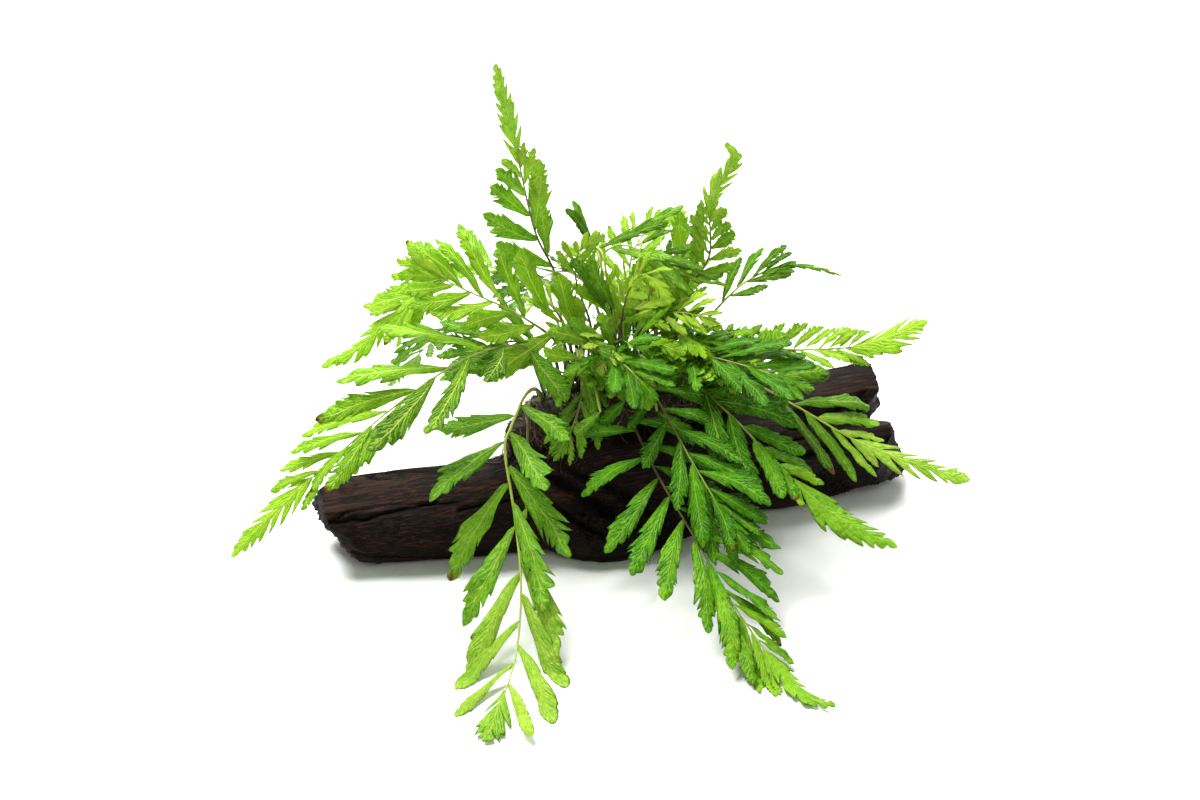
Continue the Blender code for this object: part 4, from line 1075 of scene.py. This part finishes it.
def matShape(p, normal):
    # height and share of moss at a point of the mound
    lump = noise.noise(p * 0.09 + Vector((0, roots["seed"], 0)))
    strand = abs(noise.noise(Vector((p.x * 0.5, p.y * 0.22, p.z * 0.3)))) + abs(noise.noise(p * 0.8)) * 0.5
    cover = smooth(noise.noise(p * 0.07 + Vector((3, 3, 3))) * 3 + 0.1) * smooth(normal.z * 2)
    return roots["lumps"] * lump + roots["fuzz"] * (0.45 - strand), cover


def makeLooseRoots(name, batch, ground, starts):
    # roots that wander over the ground from the mat, as one curve
    rng = random.Random(f"{roots['seed']} {name}")
    curve = bpy.data.curves.new(name, "CURVE")
    curve.dimensions = "3D"

    def anyWay():
        return Vector([rng.uniform(-1, 1) for _ in range(3)])

    for _ in range(batch["count"]):
        place, normal = rng.choice(starts)
        way = anyWay() + Vector((0, 0, -0.3))
        count = rng.randint(*batch["steps"])
        lift = rng.uniform(*batch["lift"])
        wide = rng.uniform(*batch["radius"])
        rows = []
        for i in range(count + 1):
            way = (way + roots["stray"] * anyWay() + Vector((0, 0, -0.08))).normalized()
            way = (way - way.dot(normal) * normal).normalized()
            place = place + way * roots["step"] * mm
            hit, normal, *_ = ground.find_nearest(place)
            place = hit + normal * wide * 0.5 * mm
            rows.append((place + normal * lift * sin(pi * i / count) ** 2 * mm,
                         wide * (1 - 0.7 * (i / count) ** 2)))
        if min(p.z for p, _ in rows) >= 1.5 * mm:
            addSpline(curve, rows)
    return linked(name, curve)


def makeMossTree():
    # short blades on the faces that carry moss, turned at random
    tree, add, start = newTree("moss", {"Tuft": ("Object",), "Density": ("Float", moss["density"]),
                                        "Moss": ("Material",), "Seed": ("Int", moss["seed"])})
    cover = add("InputNamedAttribute", {"Name": "moss"}, data_type="FLOAT")
    amount = add("ShaderNodeMath", [cover, start["Density"]], operation="MULTIPLY")
    points = add("DistributePointsOnFaces", {"Mesh": start["Geometry"], "Density": amount,
                                             "Seed": start["Seed"]}).outputs
    tuft = add("ObjectInfo", {"Object": start["Tuft"]}).outputs["Geometry"]
    size = add("FunctionNodeRandomValue", {2: 0.5, 3: 1.2, "Seed": start["Seed"]}, data_type="FLOAT")
    tufts = add("InstanceOnPoints", {"Points": points["Points"], "Instance": tuft,
                                     "Rotation": points["Rotation"], "Scale": size})
    closeTree(add, add("RealizeInstances", [tufts]), start["Moss"], smoothed=False)
    return tree


def makeTuft():
    # a few closed, three-sided blades leaning apart
    bm = bmesh.new()
    for k in range(moss["blades"]):
        turn = 2 * pi * k / moss["blades"] + 0.4 * k
        lean = Vector((cos(turn), sin(turn), 0))
        side = Vector((-lean.y, lean.x, 0))
        wide, tall = 0.16 * moss["height"], moss["height"] * (0.7 + 0.12 * k)
        foot = lean * wide
        base = [bm.verts.new(foot + wide * v) for v in (side, -side, lean)]
        tip = bm.verts.new(foot + lean * tall * 0.5 + Vector((0, 0, tall)))
        bm.faces.new(base)
        for i in range(3):
            bm.faces.new((base[(i + 1) % 3], base[i], tip))
    bmesh.ops.recalc_face_normals(bm, faces=bm.faces)
    return linked("tuft", meshFrom(bm, "tuft"))


def makeSimpleMaterial(name, low, high, scale, roughness, depth):
    # two tones mixed by noise, with a bump of the same grain; scale in patches to the metre
    material, add, place = newMaterial(name)
    cloud = add("TexNoise", {"Vector": place, "Scale": scale, "Detail": 5.0, "Roughness": 0.7})
    share = add("MapRange", [cloud, 0.35, 0.68])
    body = add("Mix", {0: share, 6: toLinear(low), 7: toLinear(high)}, data_type="RGBA")
    bump = add("Bump", {"Height": cloud, "Strength": 0.8, "Distance": depth})
    skin = add("BsdfPrincipled", {"Base Color": body, "Roughness": roughness, "Normal": bump,
                                  "Specular IOR Level": 0.35})
    add("OutputMaterial", [skin])
    return material


def makeRoots(wood):
    # the mound is packed dead roots: nearly black, wet, matted
    mat = roughened("root_mound", ["root_mat"], roots["voxel"], matShape, makeSimpleMaterial(
        "matted fern roots", "#0e0906", "#3a2615", 900.0, 0.6, 0.0008), ("moss",))
    materials = [makeSimpleMaterial("dark anchor root", "#160d07", "#452c19", 500.0, 0.5, 0.0003),
                 makeSimpleMaterial("pale young root", "#4a341f", "#9a7d55", 400.0, 0.5, 0.0002)]
    ground = meshTree([mat, wood])
    starts = [(v.co.copy(), v.normal.copy()) for v in mat.data.vertices if v.normal.z > -0.2]
    rootTree = makeStalkTree()
    pieces = [mat]
    for (name, batch), material in zip(roots["batches"].items(), materials):
        curve = makeLooseRoots(name, batch, ground, starts)
        pieces.append(runTree(curve, rootTree, {"Stalk": material, "Sides": 5}))
    mossMaterial = makeSimpleMaterial("wet moss", "#1a2a08", "#56761c", 700.0, 0.6, 0.0002)
    tuft = makeTuft()
    carpet = linked("moss", mat.data.copy())
    pieces.append(runTree(carpet, makeMossTree(), {"Tuft": tuft, "Moss": mossMaterial}))
    bpy.data.objects.remove(tuft)
    for piece in pieces:
        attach(piece, "root")
    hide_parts("root_mat")
    print("roots made:", [len(piece.data.polygons) for piece in pieces])


def makeRhizome():
    # creeping fern stem: green under a coat of brown scales
    def shapeAt(p, normal):
        scale = abs(noise.noise(Vector((p.x * 0.5, p.y * 0.8, p.z * 0.8))))
        return [0.5 * noise.noise(p * 0.15) + 0.9 * (0.3 - scale)]

    piece = roughened("creeping_stem", ["rhizome"], creepingStem["voxel"], shapeAt, makeSimpleMaterial(
        "scaly creeping stem", "#2b2410", "#5c6a22", 350.0, 0.55, 0.0005))
    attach(piece, "root")
    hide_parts("rhizome")


# Floor, white sky and lamps, each with its place, width in metres and power.
stage = dict(floor=4.0, tint="#fbfbf9", rough=0.9, sky=0.38, aim=(0, 0, 0.06), lamps=dict(
    key=((-0.45, 0.35, 1.4), 0.9, 51.0),
    fill=((0.7, -1.2, 1.2), 1.1, 5.0),
    back=((0.2, 1.2, 1.0), 0.8, 19.0)))


def makeStage():
    bm = bmesh.new()
    bmesh.ops.create_grid(bm, x_segments=1, y_segments=1, size=stage["floor"])
    floor = linked("floor", meshFrom(bm, "floor"))
    material = bpy.data.materials.new("pale studio floor")
    material.use_nodes = True
    shader = material.node_tree.nodes["Principled BSDF"]
    shader.inputs["Base Color"].default_value = toLinear(stage["tint"])
    shader.inputs["Roughness"].default_value = stage["rough"]
    floor.data.materials.append(material)
    world = bpy.data.worlds.new("studio")
    world.use_nodes = True
    sky = world.node_tree.nodes["Background"]
    sky.inputs["Color"].default_value = toLinear("#ffffff")
    sky.inputs["Strength"].default_value = stage["sky"]
    scene.world = world
    scene.view_settings.view_transform = "Standard"
    for name, (place, size, power) in stage["lamps"].items():
        lamp = bpy.data.lights.new(name, "AREA")
        lamp.shape, lamp.size, lamp.energy = "DISK", size, power
        light = linked(name, lamp)
        light.location = place
        light.rotation_euler = (Vector(stage["aim"]) - Vector(place)).to_track_quat("-Z", "Y").to_euler()


makeCamera()
makeStage()
wood = makeDriftwood()
makeRoots(wood)
makeRhizome()
makeFronds()
